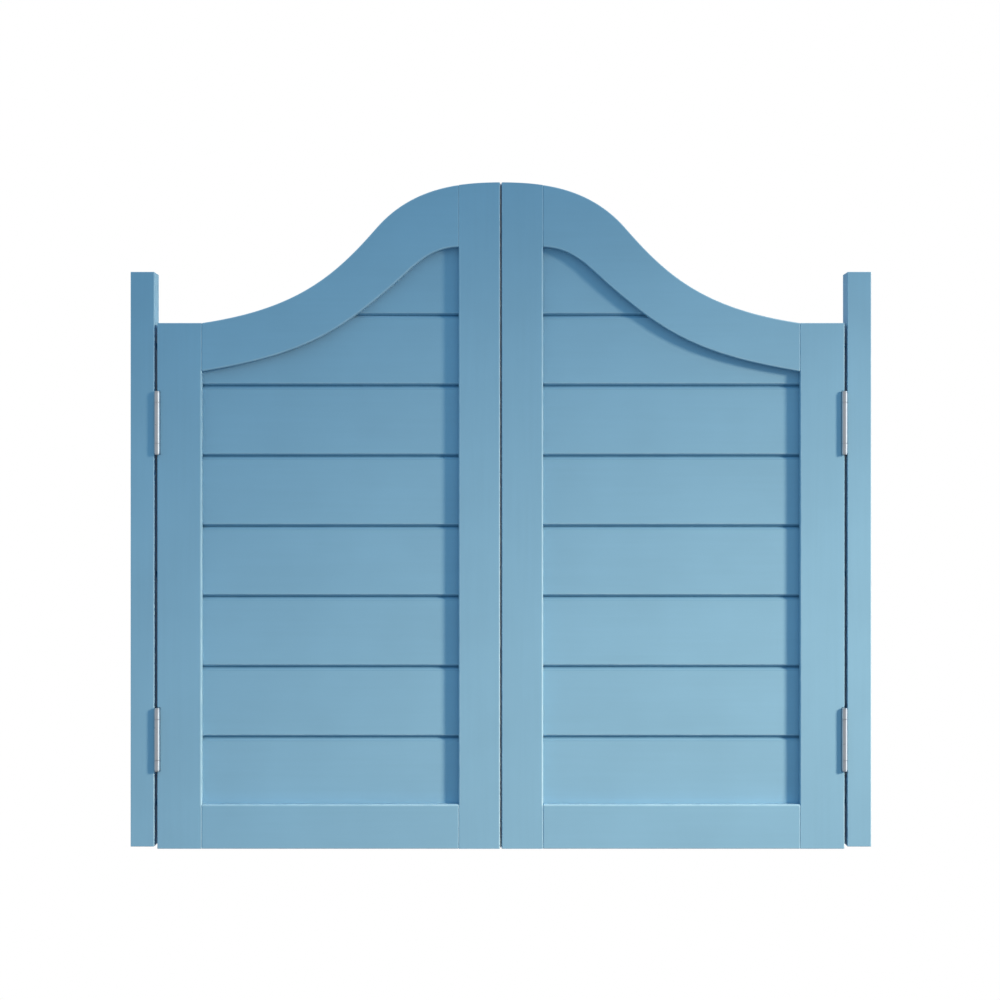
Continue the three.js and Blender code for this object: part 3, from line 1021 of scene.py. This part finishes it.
@dataclass(frozen=True)
class Leaf:
    """One leaf: two stiles, two rails and eight boards.

    Attributes:
        side: the side of the doorway.
        crest: height of the leaf's upper edge at the centre line.
        shoulder: height of that edge at the hinge stile.
        inner_crest: height of the opening's upper edge at the meeting stile.
        inner_shoulder: height of that edge at the hinge stile.
        boards: number of boards.
        housing: how far the boards reach into the frame pieces.
        fit: clearance between pieces.
        first_joint: height of the lowest board joint.
        pitch: height of a board.
        board_half: half the thickness of a board.
        vee: depth of the V along a joint.
        tongue_half: half the thickness of a tongue.
        tongue: height of a tongue.
        arris: radius of a board's arrises.
        sharp: radius of the sharp corners of tongues and grooves.
        blunt: least height of the cut end of a board.
        settled: how much painted shade lies on the arris below a V, from 0 to 1.
        fade: how far that painted shade reaches down the board.
        barrel: the hinge barrels that the hinge stile has to clear.
        relief: room round a hinge barrel.
        round: radius of the outer arrises of the frame.
        end_round: radius of the arrises round the foot and the top of the hinge stile.
        opening_round: radius of the arrises round the opening.
        joint_round: radius of the arrises where rails and stiles meet.
        joint_gap: width of the hairline between a rail and a stile.
        meeting_round: radius of the arrises along the meeting edge.
        meeting_end_round: radius of the arrises round the foot and the top of the meeting stile.
        meeting_gap: half the slit between the leaves, under the paint of both edges.
        crown: how far the meeting edge stands back at the faces.
        rail_steps: places along the top rail where its edges are followed.
        tool_steps: places along a cutting tool where its edge is followed.
        board_steps: places across the opening where a board's end is looked for.
    """

    side: Side
    crest: float = 900 * MM
    shoulder: float = 710 * MM
    inner_crest: float = 812.5 * MM
    inner_shoulder: float = 644.5 * MM
    boards: int = 8
    housing: float = 8 * MM
    fit: float = 0.3 * MM
    first_joint: float = 149.2 * MM
    pitch: float = 95.32 * MM
    board_half: float = 7 * MM
    vee: float = 3.5 * MM
    tongue_half: float = 2.2 * MM
    tongue: float = 4 * MM
    arris: float = 0.7 * MM
    sharp: float = 0.1 * MM
    blunt: float = 3 * MM
    settled: float = 0.3
    fade: float = 2 * MM
    barrel: Barrel = Barrel()
    relief: float = 0.5 * MM
    round: float = 1.2 * MM
    end_round: float = 0.8 * MM
    opening_round: float = 2 * MM
    joint_round: float = 1 * MM
    joint_gap: float = 0.08 * MM
    meeting_round: float = 1.4 * MM
    meeting_end_round: float = 0.5 * MM
    meeting_gap: float = 0.05 * MM
    crown: float = 1.25 * MM
    rail_steps: int = 110
    tool_steps: int = 120
    board_steps: int = 140

    @property
    def opening(self) -> tuple[float, float]:
        """Near and far side of the opening that the boards fill."""
        label = self.side.label
        return reach_of(f"{label}_meeting_stile")[1], reach_of(f"{label}_hinge_stile")[0]

    @property
    def half(self) -> float:
        """Half the thickness of the frame pieces."""
        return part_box(f"{self.side.label}_bottom_rail")[1].y

    @property
    def shelf(self) -> float:
        """Height of the bottom rail's upper edge, where the opening starts."""
        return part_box(f"{self.side.label}_bottom_rail")[1].z

    @property
    def outer(self) -> Ogee:
        """The upper edge of the leaf from the crest to the shoulder."""
        shares = ((0.146, 0), (0.3, 0.041), (0.417, 0.327), (0.557, 0.669), (0.684, 0.9))
        return Ogee(0.0, self.opening[1], self.crest, self.shoulder, shares)

    @property
    def inner(self) -> Ogee:
        """The upper edge of the opening."""
        shares = ((0.116, 0), (0.185, 0.176), (0.252, 0.297), (0.475, 0.695), (0.604, 0.864))
        return Ogee(*self.opening, self.inner_crest, self.inner_shoulder, shares)

    def housing_top(self, out: Array, growth: float) -> Array:
        """The opening's upper edge moved up into the rail by a growth, square to itself."""
        return self.inner.height(out) + growth * self.inner.stretch(out)

    def flat_bar(self, growth: float, half: float) -> Shell:
        """A nominal bar of height 1 across the opening, for a cutting tool.

        Args:
            growth: how much longer than the opening it is at each end.
            half: half its thickness.

        Returns:
            A skin whose coordinates are height, depth and place across the leaf.
        """
        near, far = self.opening
        stations = np.linspace(near - growth, far + growth, self.tool_steps)
        return prism(rectangle(0, 1, -half, half), LEAST_RADIUS, stations, LEAST_RADIUS)

    def sky_tool(self) -> Shell:
        """The tool that cuts the upper boards off along the bottom of the top rail's groove."""
        bar, sign = self.flat_bar(2 * self.housing, 2 * self.board_half), self.side.value
        return bar.mapped(lambda u, y, out: (sign * out, y, self.housing_top(out, self.housing) + u))

    def housing_tool(self) -> Shell:
        """The tool that cuts the groove for the boards into all four frame pieces.

        A flat bar with the thickness of the groove, whose upper edge follows the opening.

        Returns:
            The tool's skin.
        """
        growth = self.housing + self.fit
        bar = self.flat_bar(growth, self.board_half + self.fit)
        return bar.mapped(lambda u, y, out: (
            self.side.value * out,
            y,
            np.where(u < 0.5, self.shelf - growth + u, self.housing_top(out, growth) - (1 - u)),
        ))

    def barrel_room(self) -> list[Shell]:
        """The tools that scoop room for the hinge barrels out of the hinge stile's edge.

        Returns:
            One upright bar for each barrel.
        """
        radius = self.barrel.radius + self.relief
        half = self.barrel.length / 2 + self.relief
        x, y = self.side.value * self.barrel.out, self.barrel.offset
        return [
            turned_bar([(radius, level.value - half), (radius, level.value + half)], x, face * y)
            for level in Level
            for face in (-1, 1)
        ]

    def rails(self) -> dict[str, Rail]:
        """The two rails.

        Returns:
            The rails by the name of their node.
        """
        near, far = self.opening[0] + self.joint_gap, self.opening[1] - self.joint_gap
        return {
            "top_rail": Rail(
                self.inner, self.outer, near, far, self.half,
                low_round=self.opening_round,
                high_round=self.round,
                end_round=self.joint_round,
                steps=self.rail_steps,
            ),
            "bottom_rail": Rail(
                LevelEdge(0.0), LevelEdge(self.shelf), near, far, self.half,
                low_round=self.round,
                high_round=self.opening_round,
                end_round=self.joint_round,
            ),
        }

    def stiles(self) -> dict[str, Upright]:
        """The two stiles.

        Returns:
            The stiles by the name of their node.
        """
        hinge = f"{self.side.label}_hinge_stile"
        return {
            "hinge_stile": Upright(
                *reach_of(hinge), self.half,
                foot=0.0,
                top=LevelEdge(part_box(hinge)[1].z),
                round=self.round,
                end_round=self.end_round,
                near_round=self.opening_round,
                opening=(self.shelf, self.inner.foot),
                joint_round=self.joint_round,
            ),
            "meeting_stile": Upright(
                self.meeting_gap, self.opening[0], self.half,
                foot=0.0,
                top=self.outer,
                round=self.meeting_round,
                end_round=self.meeting_end_round,
                far_round=self.opening_round,
                opening=(self.shelf, self.inner.top),
                joint_round=self.joint_round,
                crown=self.crown,
            ),
        }

    def build_frame(self) -> None:
        """Makes the stiles and rails, grooved for the boards and scooped for the hinge barrels."""
        groove = self.housing_tool()
        scoops = {"hinge_stile": self.barrel_room()}
        for pieces, finish in ((self.stiles(), UPRIGHT_PAINT), (self.rails(), LEVEL_PAINT)):
            for name, piece in pieces.items():
                node = f"{self.side.label}_{name}"
                shell = carved(piece.shell(self.side), cuts=[groove, *scoops.get(name, [])])
                dress(f"{node}_finished", node, shell, finish)

    def board_section(self, index: int) -> tuple[Array, Array, Array]:
        """Section of a board: a groove below, a tongue above and a V along each joint, front and back.

        Args:
            index: number of the board, from 0 at the foot.

        Returns:
            Corners as height and depth, counter-clockwise, the radius of each, and how deep it is sunk, which
            is how much shade is painted on it.
        """
        lowest, highest = index == 0, index == self.boards - 1
        joint = self.first_joint + self.pitch * index
        foot = self.shelf - self.housing if lowest else joint - self.pitch + self.fit / 2
        top = self.inner.top + self.housing if highest else joint - self.fit / 2
        half, flat, groove = self.board_half, self.board_half - self.vee, self.tongue_half + self.fit
        square, small = self.arris, self.sharp
        # The last number of a corner is its painted shade: 1 at the root of a V and on the hidden tongue and
        # groove, some at the arris below a V, none where that shade has faded out down the board.
        under = [(foot, half, small, 0)] if lowest else [
            (foot + self.tongue + self.fit, groove, small, 1),
            (foot, groove, small, 1),
            (foot, flat, small, 1),
            (foot + self.vee, half, square, 0),
        ]
        over = [(top, half, small, 0)] if highest else [
            (top - self.vee - self.fade, half, 0, 0),
            (top - self.vee, half, square, self.settled),
            (top, flat, small, 1),
            (top, self.tongue_half, small, 1),
            (top + self.tongue, self.tongue_half, small, 1),
        ]
        behind = np.array(under + over)
        front = behind * (1, -1, 1, 1)
        corners = np.vstack([front, behind[::-1]])
        return corners[:, :2], corners[:, 2], corners[:, 3]

    def build_boards(self) -> None:
        """Makes the boards. The upper ones are cut off where the top rail houses them."""
        near, far = self.opening
        across = np.linspace(near - self.housing, far + self.housing, self.board_steps)
        limit = self.housing_top(across, self.housing)
        for index in range(self.boards):
            corners, radii, sunk = self.board_section(index)
            ends = across[limit > corners[:, 0].min() + self.blunt][[0, -1]]
            bar = prism(corners, radii, ends, LEAST_RADIUS, sunk=sunk)
            shell = bar.mapped(lambda z, y, out: (self.side.value * out, y, z))
            if limit.min() < corners[:, 0].max():
                shell = carved(shell, cuts=[self.sky_tool()])
            node = f"{self.side.label}_board_{index + 1}"
            dress(f"{node}_finished", node, shell, LEVEL_PAINT)

    def build(self) -> None:
        """Makes the whole leaf."""
        self.build_frame()
        self.build_boards()


@dataclass(frozen=True)
class WoodScrew:
    """A countersunk wood screw with a cross recess, along z, with its point below and its head near zero.

    Attributes:
        head: radius of its head.
        lip: height of the head's rim.
        shank: radius of its shank.
        length: its length.
        taper: length of its point.
        tip: radius of the end of its point.
        arm: half the length of an arm of the recess.
        width: half the width of an arm.
        depth: depth of the recess.
        corner: radius of the corners of the recess.
    """

    head: float = 2.9 * MM
    lip: float = 0.12 * MM
    shank: float = 1.4 * MM
    length: float = 14 * MM
    taper: float = 5.6 * MM
    tip: float = 0.1 * MM
    arm: float = 1.7 * MM
    width: float = 0.42 * MM
    depth: float = 0.9 * MM
    corner: float = 0.1 * MM

    def shell(self) -> Shell:
        """The screw's skin: a turned profile, with two crossed bars cut out of its head.

        Returns:
            The skin.
        """
        profile = np.array([
            (self.tip, -self.length),
            (self.shank, self.taper - self.length),
            (self.shank, self.shank - self.head),
            (self.head, -self.lip),
            (self.head, 0),
        ])
        blank = turned_bar(profile - (0, self.lip / 2), 0.0, 0.0)
        bars = [
            prism(rectangle(-u, u, -v, v), self.corner, np.array([-self.depth, self.depth]), LEAST_RADIUS)
            for u, v in ((self.arm, self.width), (self.width, self.arm))
        ]
        return carved(blank, cuts=bars)


@dataclass(frozen=True)
class SpringHinge:
    """A double-action spring hinge, in a frame of its own.

    In that frame x runs from the jamb's face towards the leaf, y from the front to the back with the
    jamb's barrel in front, and z up from the middle of the hinge.

    Attributes:
        side: the side of the doorway.
        level: which of the two hinges of a leaf it is.
        jamb_face: distance of the jamb's face from the centre line.
        barrel: sizes of the barrels.
        axis: distance of the barrel axes from the jamb's face.
        bore: radius inside a barrel.
        stack: height of the plates, and of a barrel without its caps.
        knuckle: height of a knuckle.
        tube: height of a spring tube.
        plate: thickness of a plate.
        play: gap between plates.
        edge: distance of a plate's free edge from the middle of the leaf.
        corner: radius of a flange's free corners.
        fit: clearance between pieces, and how far a tool reaches past a face.
        ease: radius of eased edges.
        cap: radius of a spindle's caps.
        cap_chamfer: size of the bowed chamfer on a cap.
        cap_gap: gap under a cap.
        slot: width and depth of the slot in a cap.
        shaft: radius of a spindle inside its spring.
        wire: radius of the spring wire.
        turns: turns of a spring.
        turn_steps: rings of points on each turn.
        wire_sides: points round the wire.
        spring_gap: room above and below a spring in its tube.
        screw_spacing: distance from one of a flange's screws up to the next.
        screw_stagger: how far the screws stand to either side of the middle.
        hole: radius of a screw hole at its narrow end.
        sink: radius of a screw hole at its mouth.
        screw: the screw for those holes.
    """

    side: Side
    level: Level
    jamb_face: float = 468 * MM
    barrel: Barrel = Barrel()
    axis: float = 4.15 * MM
    bore: float = 3 * MM
    stack: float = 81.6 * MM
    knuckle: float = 13 * MM
    tube: float = 55 * MM
    plate: float = 1 * MM
    play: float = 0.25 * MM
    edge: float = 12 * MM
    corner: float = 3 * MM
    fit: float = 0.3 * MM
    ease: float = 0.22 * MM
    cap: float = 3.6 * MM
    cap_chamfer: float = 0.8 * MM
    cap_gap: float = 0.1 * MM
    slot: float = 1 * MM
    shaft: float = 1.5 * MM
    wire: float = 0.42 * MM
    turns: int = 16
    turn_steps: int = 28
    wire_sides: int = 8
    spring_gap: float = 1.26 * MM
    screw_spacing: float = 29 * MM
    screw_stagger: float = 4 * MM
    hole: float = 1.9 * MM
    sink: float = 3 * MM
    screw: WoodScrew = WoodScrew()

    def start(self, layer: Layer) -> float:
        """Distance of a plate's nearer face from the jamb."""
        return self.play + layer.value * (self.plate + self.play)

    def set(self, shell: Shell) -> Shell:
        """Puts a skin into the doorway, turned half round on the right.

        Args:
            shell: a skin in the hinge's own frame.

        Returns:
            The skin in place.
        """
        turn = -self.side.value
        face = self.side.value * self.jamb_face
        return shell.mapped(lambda x, y, z: (face + turn * x, turn * y, self.level.value + z))

    def slab(self, layer: Layer, outline: Array, radii: Array | float) -> Shell:
        """A plate with eased edges.

        Args:
            layer: which plate it is.
            outline: its corners in y and z.
            radii: radius of each corner, or one for all.

        Returns:
            The skin.
        """
        start = self.start(layer)
        bar = prism(outline, radii, np.array([start, start + self.plate]), self.ease)
        return bar.mapped(lambda y, z, x: (x, y, z))

    def barrel_bar(self, radius: float, length: float, y: float) -> Shell:
        """A plain upright bar on a barrel's axis, for cutting."""
        return turned_bar([(radius, -length / 2), (radius, length / 2)], self.axis, y)

    def barrel_ring(self, length: float, y: float, z: float) -> Shell:
        """A length of barrel, closed at its ends, whose rims are eased by a quarter circle.

        Args:
            length: its height.
            y: where its axis stands.
            z: height of its middle.

        Returns:
            The skin.
        """
        radius, half, rim = self.barrel.radius, length / 2, self.ease
        angle = np.linspace(0, math.pi / 2, EASE_STEPS)
        inwards, upwards = rim * (1 - np.cos(angle)), rim * (1 - np.sin(angle))
        lower = np.stack([radius - inwards[::-1], -half + upwards[::-1]], axis=-1)
        upper = np.stack([radius - inwards, half - upwards], axis=-1)
        hold = np.array([(radius, -half + HOLD * rim), (radius, half - HOLD * rim)])
        return turned_bar(np.vstack([lower, hold, upper]) + (0, z), self.axis, y)

    def screw_places(self) -> Array:
        """Staggered places of a flange's three screws.

        Returns:
            Their y and z, one row each.
        """
        step = np.array([-1, 0, 1])
        aside = np.where(step == 0, 1, -1)
        return np.stack([self.screw_stagger * aside, self.screw_spacing * step], axis=-1)

    def at_screws(self, shell: Shell, layer: Layer) -> list[Shell]:
        """Lays a turned skin along x at each of a flange's screws.

        The jamb flange's screws have their heads towards the leaf, the door flange's towards the jamb.

        Args:
            shell: a skin along z, with the mouth of the hole at zero and the head above.
            layer: the flange.

        Returns:
            One skin for each screw.
        """
        start, flip = self.start(layer), -1
        if layer is Layer.JAMB_FLANGE:
            start, flip = start + self.plate, 1
        return [
            shell.mapped(lambda a, b, height, y=y, z=z: (start + flip * height, y + a, z + b))
            for y, z in self.screw_places()
        ]

    def sinks(self, layer: Layer) -> list[Shell]:
        """The tools that countersink a flange's holes.

        Args:
            layer: the flange.

        Returns:
            One cone for each hole.
        """
        more = self.fit * (self.sink - self.hole) / self.plate
        ends = [(self.hole - more, -self.plate - self.fit), (self.sink + more, self.fit)]
        return self.at_screws(turned_bar(ends, 0.0, 0.0), layer)

    def flange(self, layer: Layer, barrel_y: float) -> Shell:
        """A flange: a plate with round corners, two end knuckles and room between them for the tube.

        Args:
            layer: which flange it is.
            barrel_y: where its barrel stands.

        Returns:
            The skin.
        """
        half = self.stack / 2
        free = -math.copysign(self.edge, barrel_y)
        near, far = min(free, barrel_y), max(free, barrel_y)
        radii = np.where(np.array([near, far, far, near]) == free, self.corner, self.ease)
        plate = self.slab(layer, rectangle(near, far, -half, half), radii)
        ends = (self.stack - self.knuckle) / 2
        knuckles = [self.barrel_ring(self.knuckle, barrel_y, ends * end) for end in (-1, 1)]
        room = self.barrel_bar(self.barrel.radius + self.fit, self.tube + 2 * self.fit, barrel_y)
        bore = self.barrel_bar(self.bore, self.stack + 2 * self.fit, barrel_y)
        return carved(plate, joins=knuckles, cuts=[room, bore, *self.sinks(layer)])

    def centre_plate(self) -> Shell:
        """The link between both barrels: a web with a spring tube along each edge.

        Returns:
            The skin.
        """
        half, tube, offset = self.stack / 2, self.tube / 2, self.barrel.offset
        outlines = (rectangle(-self.edge, self.edge, -half, half), rectangle(-offset, offset, -tube, tube))
        web, tab = (self.slab(Layer.CENTRE_PLATE, outline, self.ease) for outline in outlines)
        tubes = [self.barrel_ring(self.tube, face * offset, 0.0) for face in (-1, 1)]
        bores = [self.barrel_bar(self.bore, self.tube + 2 * self.fit, face * offset) for face in (-1, 1)]
        return carved(web, joins=[tab, *tubes], cuts=bores)

    def spindle(self, barrel_y: float) -> Shell:
        """A spindle: a chamfered cap at each end, a plug in each knuckle, a shaft, a slot in the top.

        Args:
            barrel_y: where its barrel stands.

        Returns:
            The skin.
        """
        plug = self.bore - self.fit
        top, under = self.barrel.length / 2, self.stack / 2 + self.cap_gap
        plug_foot = self.stack / 2 - self.knuckle
        upper = np.array([
            (self.shaft, plug_foot),
            (plug, plug_foot),
            (plug, under),
            (self.cap, under),
            (self.cap, top - self.cap_chamfer),
            (self.cap - self.cap_chamfer / 3, top - self.cap_chamfer / 3),
            (self.cap - self.cap_chamfer, top),
        ])
        bar = turned_bar(np.vstack([upper[::-1] * (1, -1), upper]), self.axis, barrel_y)
        reach = self.cap + self.fit
        cutter = prism(
            rectangle(barrel_y - self.slot / 2, barrel_y + self.slot / 2, top - self.slot, top + self.slot),
            LEAST_RADIUS,
            np.array([self.axis - reach, self.axis + reach]),
            LEAST_RADIUS,
        ).mapped(lambda y, z, x: (x, y, z))
        return carved(bar, cuts=[cutter])

    def spring(self, barrel_y: float) -> Shell:
        """A torsion spring: a round wire carried along a helix.

        At angle t the wire's middle is (R cos t, R sin t, p t), its outward direction is
        (cos t, sin t, 0) and its third direction is their cross product with the helix's tangent. Point
        (i, j) is the middle plus w (cos s outward + sin s third), with s going round the wire.

        Args:
            barrel_y: where its barrel stands.

        Returns:
            The skin.
        """
        radius = (self.shaft + self.bore) / 2
        length = self.tube - 2 * self.spring_gap
        t = np.linspace(0, 2 * math.pi * self.turns, self.turn_steps * self.turns)
        rise = length / t[-1]
        outward = np.stack([np.cos(t), np.sin(t), np.zeros_like(t)], axis=-1)
        tangent = unit(np.stack([-radius * np.sin(t), radius * np.cos(t), np.full_like(t, rise)], axis=-1))
        third = np.cross(tangent, outward)
        middle = radius * outward + np.stack([0 * t, 0 * t, rise * t - length / 2], axis=-1)
        s = np.linspace(0, 2 * math.pi, self.wire_sides, endpoint=False)[None, :, None]
        rings = middle[:, None] + self.wire * (np.cos(s) * outward[:, None] + np.sin(s) * third[:, None])
        return skin_of_rings(rings + (self.axis, barrel_y, 0), np.zeros(rings.shape[:2]))

    def build(self) -> None:
        """Makes the hinge's pieces and its screws."""
        front, back = -self.barrel.offset, self.barrel.offset
        pieces = {
            "jamb_flange": (self.flange(Layer.JAMB_FLANGE, front), SATIN_STEEL),
            "centre_plate": (self.centre_plate(), SATIN_STEEL),
            "door_flange": (self.flange(Layer.DOOR_FLANGE, back), SATIN_STEEL),
            "jamb_spindle": (self.spindle(front), SATIN_STEEL),
            "door_spindle": (self.spindle(back), SATIN_STEEL),
            "jamb_spring": (self.spring(front), SPRING_STEEL),
            "door_spring": (self.spring(back), SPRING_STEEL),
        }
        prefix = f"{self.side.label}_{self.level.label}"
        for name, (shell, finish) in pieces.items():
            node = f"{prefix}_{name}"
            dress(f"{node}_finished", node, self.set(shell), finish)
        for name, layer in (("jamb_flange", Layer.JAMB_FLANGE), ("door_flange", Layer.DOOR_FLANGE)):
            node = f"{prefix}_{name}"
            screws = joined(self.at_screws(self.screw.shell(), layer))
            dress(f"{node}_screws", node, self.set(screws), SCREW_STEEL, stands_for=False)


@dataclass(frozen=True)
class WhiteScreen:
    """A large screen at the far end of the studio, made as a bright round patch of the surroundings.

    Attributes:
        towards: direction from the doors to it.
        inner: angle from its middle out to where it starts to fade, in degrees.
        outer: angle out to where it ends, in degrees.
        colour: its radiance.
    """

    towards: Triple
    inner: float
    outer: float
    colour: Colour

    def radiance(self, sheet: NodeSheet, direction: Socket) -> Socket:
        """Adds its nodes to the surroundings.

        Args:
            sheet: the sheet of the surroundings.
            direction: the direction that is looked in.

        Returns:
            Its radiance in that direction.
        """
        middle = Vector(self.towards).normalized()
        nearness = sheet.add("ShaderNodeVectorMath", {0: direction, 1: middle}, operation="DOT_PRODUCT")
        start, end = (math.cos(math.radians(angle)) for angle in (self.outer, self.inner))
        fade = sheet.ranged(nearness.outputs["Value"], start, end, 0.0, 1.0, "SMOOTHSTEP")
        return sheet.tinted(self.colour, fade)


@dataclass(frozen=True)
class Softbox:
    """A round studio lamp behind white cloth and a honeycomb grid.

    Attributes:
        name: its name.
        at: where it stands.
        aim: the point that it is turned to.
        width: width of the cloth, which sets how soft its shadows are.
        grid: angle to its axis, in degrees, at which the grid lets no more light through.
        level: how bright it makes a white face at the aim that is square to it.
    """

    name: str
    at: Triple
    aim: Triple
    width: float
    grid: float
    level: Colour

    def build(self) -> None:
        """Sets the lamp up. A grid of angle g gathers its light tan g / (tan g - g) times on the axis."""
        axis = Vector(self.at) - Vector(self.aim)
        angle = math.radians(self.grid)
        gathered = math.tan(angle) / (math.tan(angle) - angle)
        strongest = max(self.level)
        data = bpy.data.lights.new(self.name, "AREA")
        data.shape = "DISK"
        data.size = self.width
        data.spread = 2 * angle
        data.energy = strongest * (math.pi * axis.length) ** 2 / gathered
        data.color = tuple(part / strongest for part in self.level)
        lamp = bpy.data.objects.new(self.name, data)
        lamp.location = self.at
        lamp.rotation_euler = axis.to_track_quat("Z", "Y").to_euler()
        lamp.visible_camera = False
        lamp.visible_glossy = False
        bpy.context.scene.collection.objects.link(lamp)


@dataclass(frozen=True)
class Studio:
    """Camera, lights, surroundings and floor.

    Attributes:
        camera_at: where the camera stands; it looks straight along Y.
        lens: focal length in millimetres.
        sensor: width of the sensor in millimetres.
        key: the main lamp, on the right and a little above the doors.
        back: a weaker lamp for the back of the doors.
        shade: colour of the soft light that comes from all round.
        shade_range: how strong that light is from straight below and from straight above.
        mirrored: colour of the surroundings in polished metal.
        screen: the screen on the right that polished metal mirrors as well.
        floor_drop: how far the floor lies below the foot of the leaves.
        floor_radius: radius of the floor.
        floor_rim: size of the chamfer round it.
        floor_colour: colour of the floor at a tone of 1.
        floor_tone: range of the floor's tone.
        floor_bounce: share of the light on the floor that is thrown back at the doors.
        floor_roughness: roughness of the floor.
    """

    camera_at: Triple = (-0.0012, -2.492, 0.471)
    lens: float = 66.0
    sensor: float = 36.0
    key: Softbox = Softbox(
        "key", at=(3.67, -1.68, 1.54), aim=(0.06, 0.0, 0.02), width=0.6, grid=13.5, level=(2.93, 1.96, 1.3)
    )
    back: Softbox = Softbox(
        "back", at=(2.3, 3.3, 1.9), aim=(0.0, 0.0, 0.4), width=0.8, grid=40.0, level=(1.2, 0.9, 0.65)
    )
    shade: Colour = (0.392, 0.585, 0.705)
    shade_range: tuple[float, float] = (0.35, 1.45)
    mirrored: Colour = (0.36, 0.39, 0.42)
    screen: WhiteScreen = WhiteScreen(
        towards=(1.0, -0.15, 0.1), inner=15.0, outer=50.0, colour=(1.0, 1.1, 1.15)
    )
    floor_drop: float = 0.75
    floor_radius: float = 1.8
    floor_rim: float = 10 * MM
    floor_colour: Colour = (1.0, 0.88, 0.79)
    floor_tone: tuple[float, float] = (0.82, 0.86)
    floor_bounce: float = 0.25
    floor_roughness: float = 0.8

    def build_camera(self) -> None:
        """Sets up the camera at the photograph's angle."""
        data = bpy.data.cameras.new("camera")
        data.lens = self.lens
        data.sensor_width = self.sensor
        camera = bpy.data.objects.new("camera", data)
        camera.location = self.camera_at
        camera.rotation_euler = (math.pi / 2, 0, 0)
        bpy.context.scene.collection.objects.link(camera)
        bpy.context.scene.camera = camera

    def build_surroundings(self) -> None:
        """White surroundings to the eye, soft light on everything, and a grey room with a screen in steel."""
        world = bpy.data.worlds.new("studio")
        world.use_nodes = True
        bpy.context.scene.world = world
        sheet = NodeSheet(world.node_tree)
        ray = sheet.add("ShaderNodeLightPath").outputs
        direction = sheet.add("ShaderNodeTexCoord").outputs["Generated"]
        patch = self.screen.radiance(sheet, direction)
        low, high = self.shade_range
        height = sheet.add("ShaderNodeSeparateXYZ", {0: direction}).outputs["Z"]
        even = sheet.tinted(self.shade, sheet.ranged(height, -1.0, 1.0, low, high))
        room = sheet.add("ShaderNodeVectorMath", {0: self.mirrored, 1: patch}, operation="ADD").outputs[0]
        lit, glossy, white = (
            sheet.add("ShaderNodeBackground", {"Color": colour, "Strength": 1.0}).outputs[0]
            for colour in (even, room, (1.0, 1.0, 1.0, 1.0))
        )
        unseen = sheet.add("ShaderNodeMixShader", {0: ray["Is Glossy Ray"], 1: lit, 2: glossy}).outputs[0]
        mix = sheet.add("ShaderNodeMixShader", {0: ray["Is Camera Ray"], 1: unseen, 2: white})
        sheet.add("ShaderNodeOutputWorld", {"Surface": mix.outputs[0]})

    def build_floor(self) -> None:
        """Lays a round pale floor, turned about an upright axis, with a chamfer round its rim."""
        top, reach, rim = -self.floor_drop, self.floor_radius, self.floor_rim
        profile = [(reach, top - 2 * rim), (reach, top - rim), (reach - rim, top)]
        floor = bpy.data.objects.new("floor", turned_bar(profile, 0.0, 0.0).mesh("floor"))
        bpy.context.scene.collection.objects.link(floor)
        material = bpy.data.materials.new("pale_floor")
        material.use_nodes = True
        sheet = NodeSheet(material.node_tree)
        place = sheet.add("ShaderNodeTexCoord").outputs["Object"]
        low, high = self.floor_tone
        tone = sheet.spread(sheet.noise(place, scale=3.0, detail=4.0), low, high)
        seen = sheet.add("ShaderNodeLightPath").outputs["Is Camera Ray"]
        shown = sheet.maths("MULTIPLY", tone, sheet.ranged(seen, 0.0, 1.0, self.floor_bounce, 1.0))
        colour = sheet.tinted(self.floor_colour, shown)
        paper = {"Base Color": colour, "Roughness": self.floor_roughness}
        surface = sheet.add("ShaderNodeBsdfPrincipled", paper)
        sheet.add("ShaderNodeOutputMaterial", {"Surface": surface.outputs[0]})
        floor.data.materials.append(material)

    def build(self) -> None:
        """Sets up the whole studio."""
        self.build_camera()
        self.key.build()
        self.back.build()
        self.build_surroundings()
        self.build_floor()
        bpy.context.scene.view_settings.view_transform = "Standard"


def main() -> None:
    """Builds the studio and every piece of the doors."""
    logging.basicConfig(level=logging.INFO, format="%(message)s")
    Studio().build()
    for side in Side:
        Jamb(side).build()
        Leaf(side).build()
        for level in Level:
            SpringHinge(side, level).build()


if __name__ == "__main__":
    main()
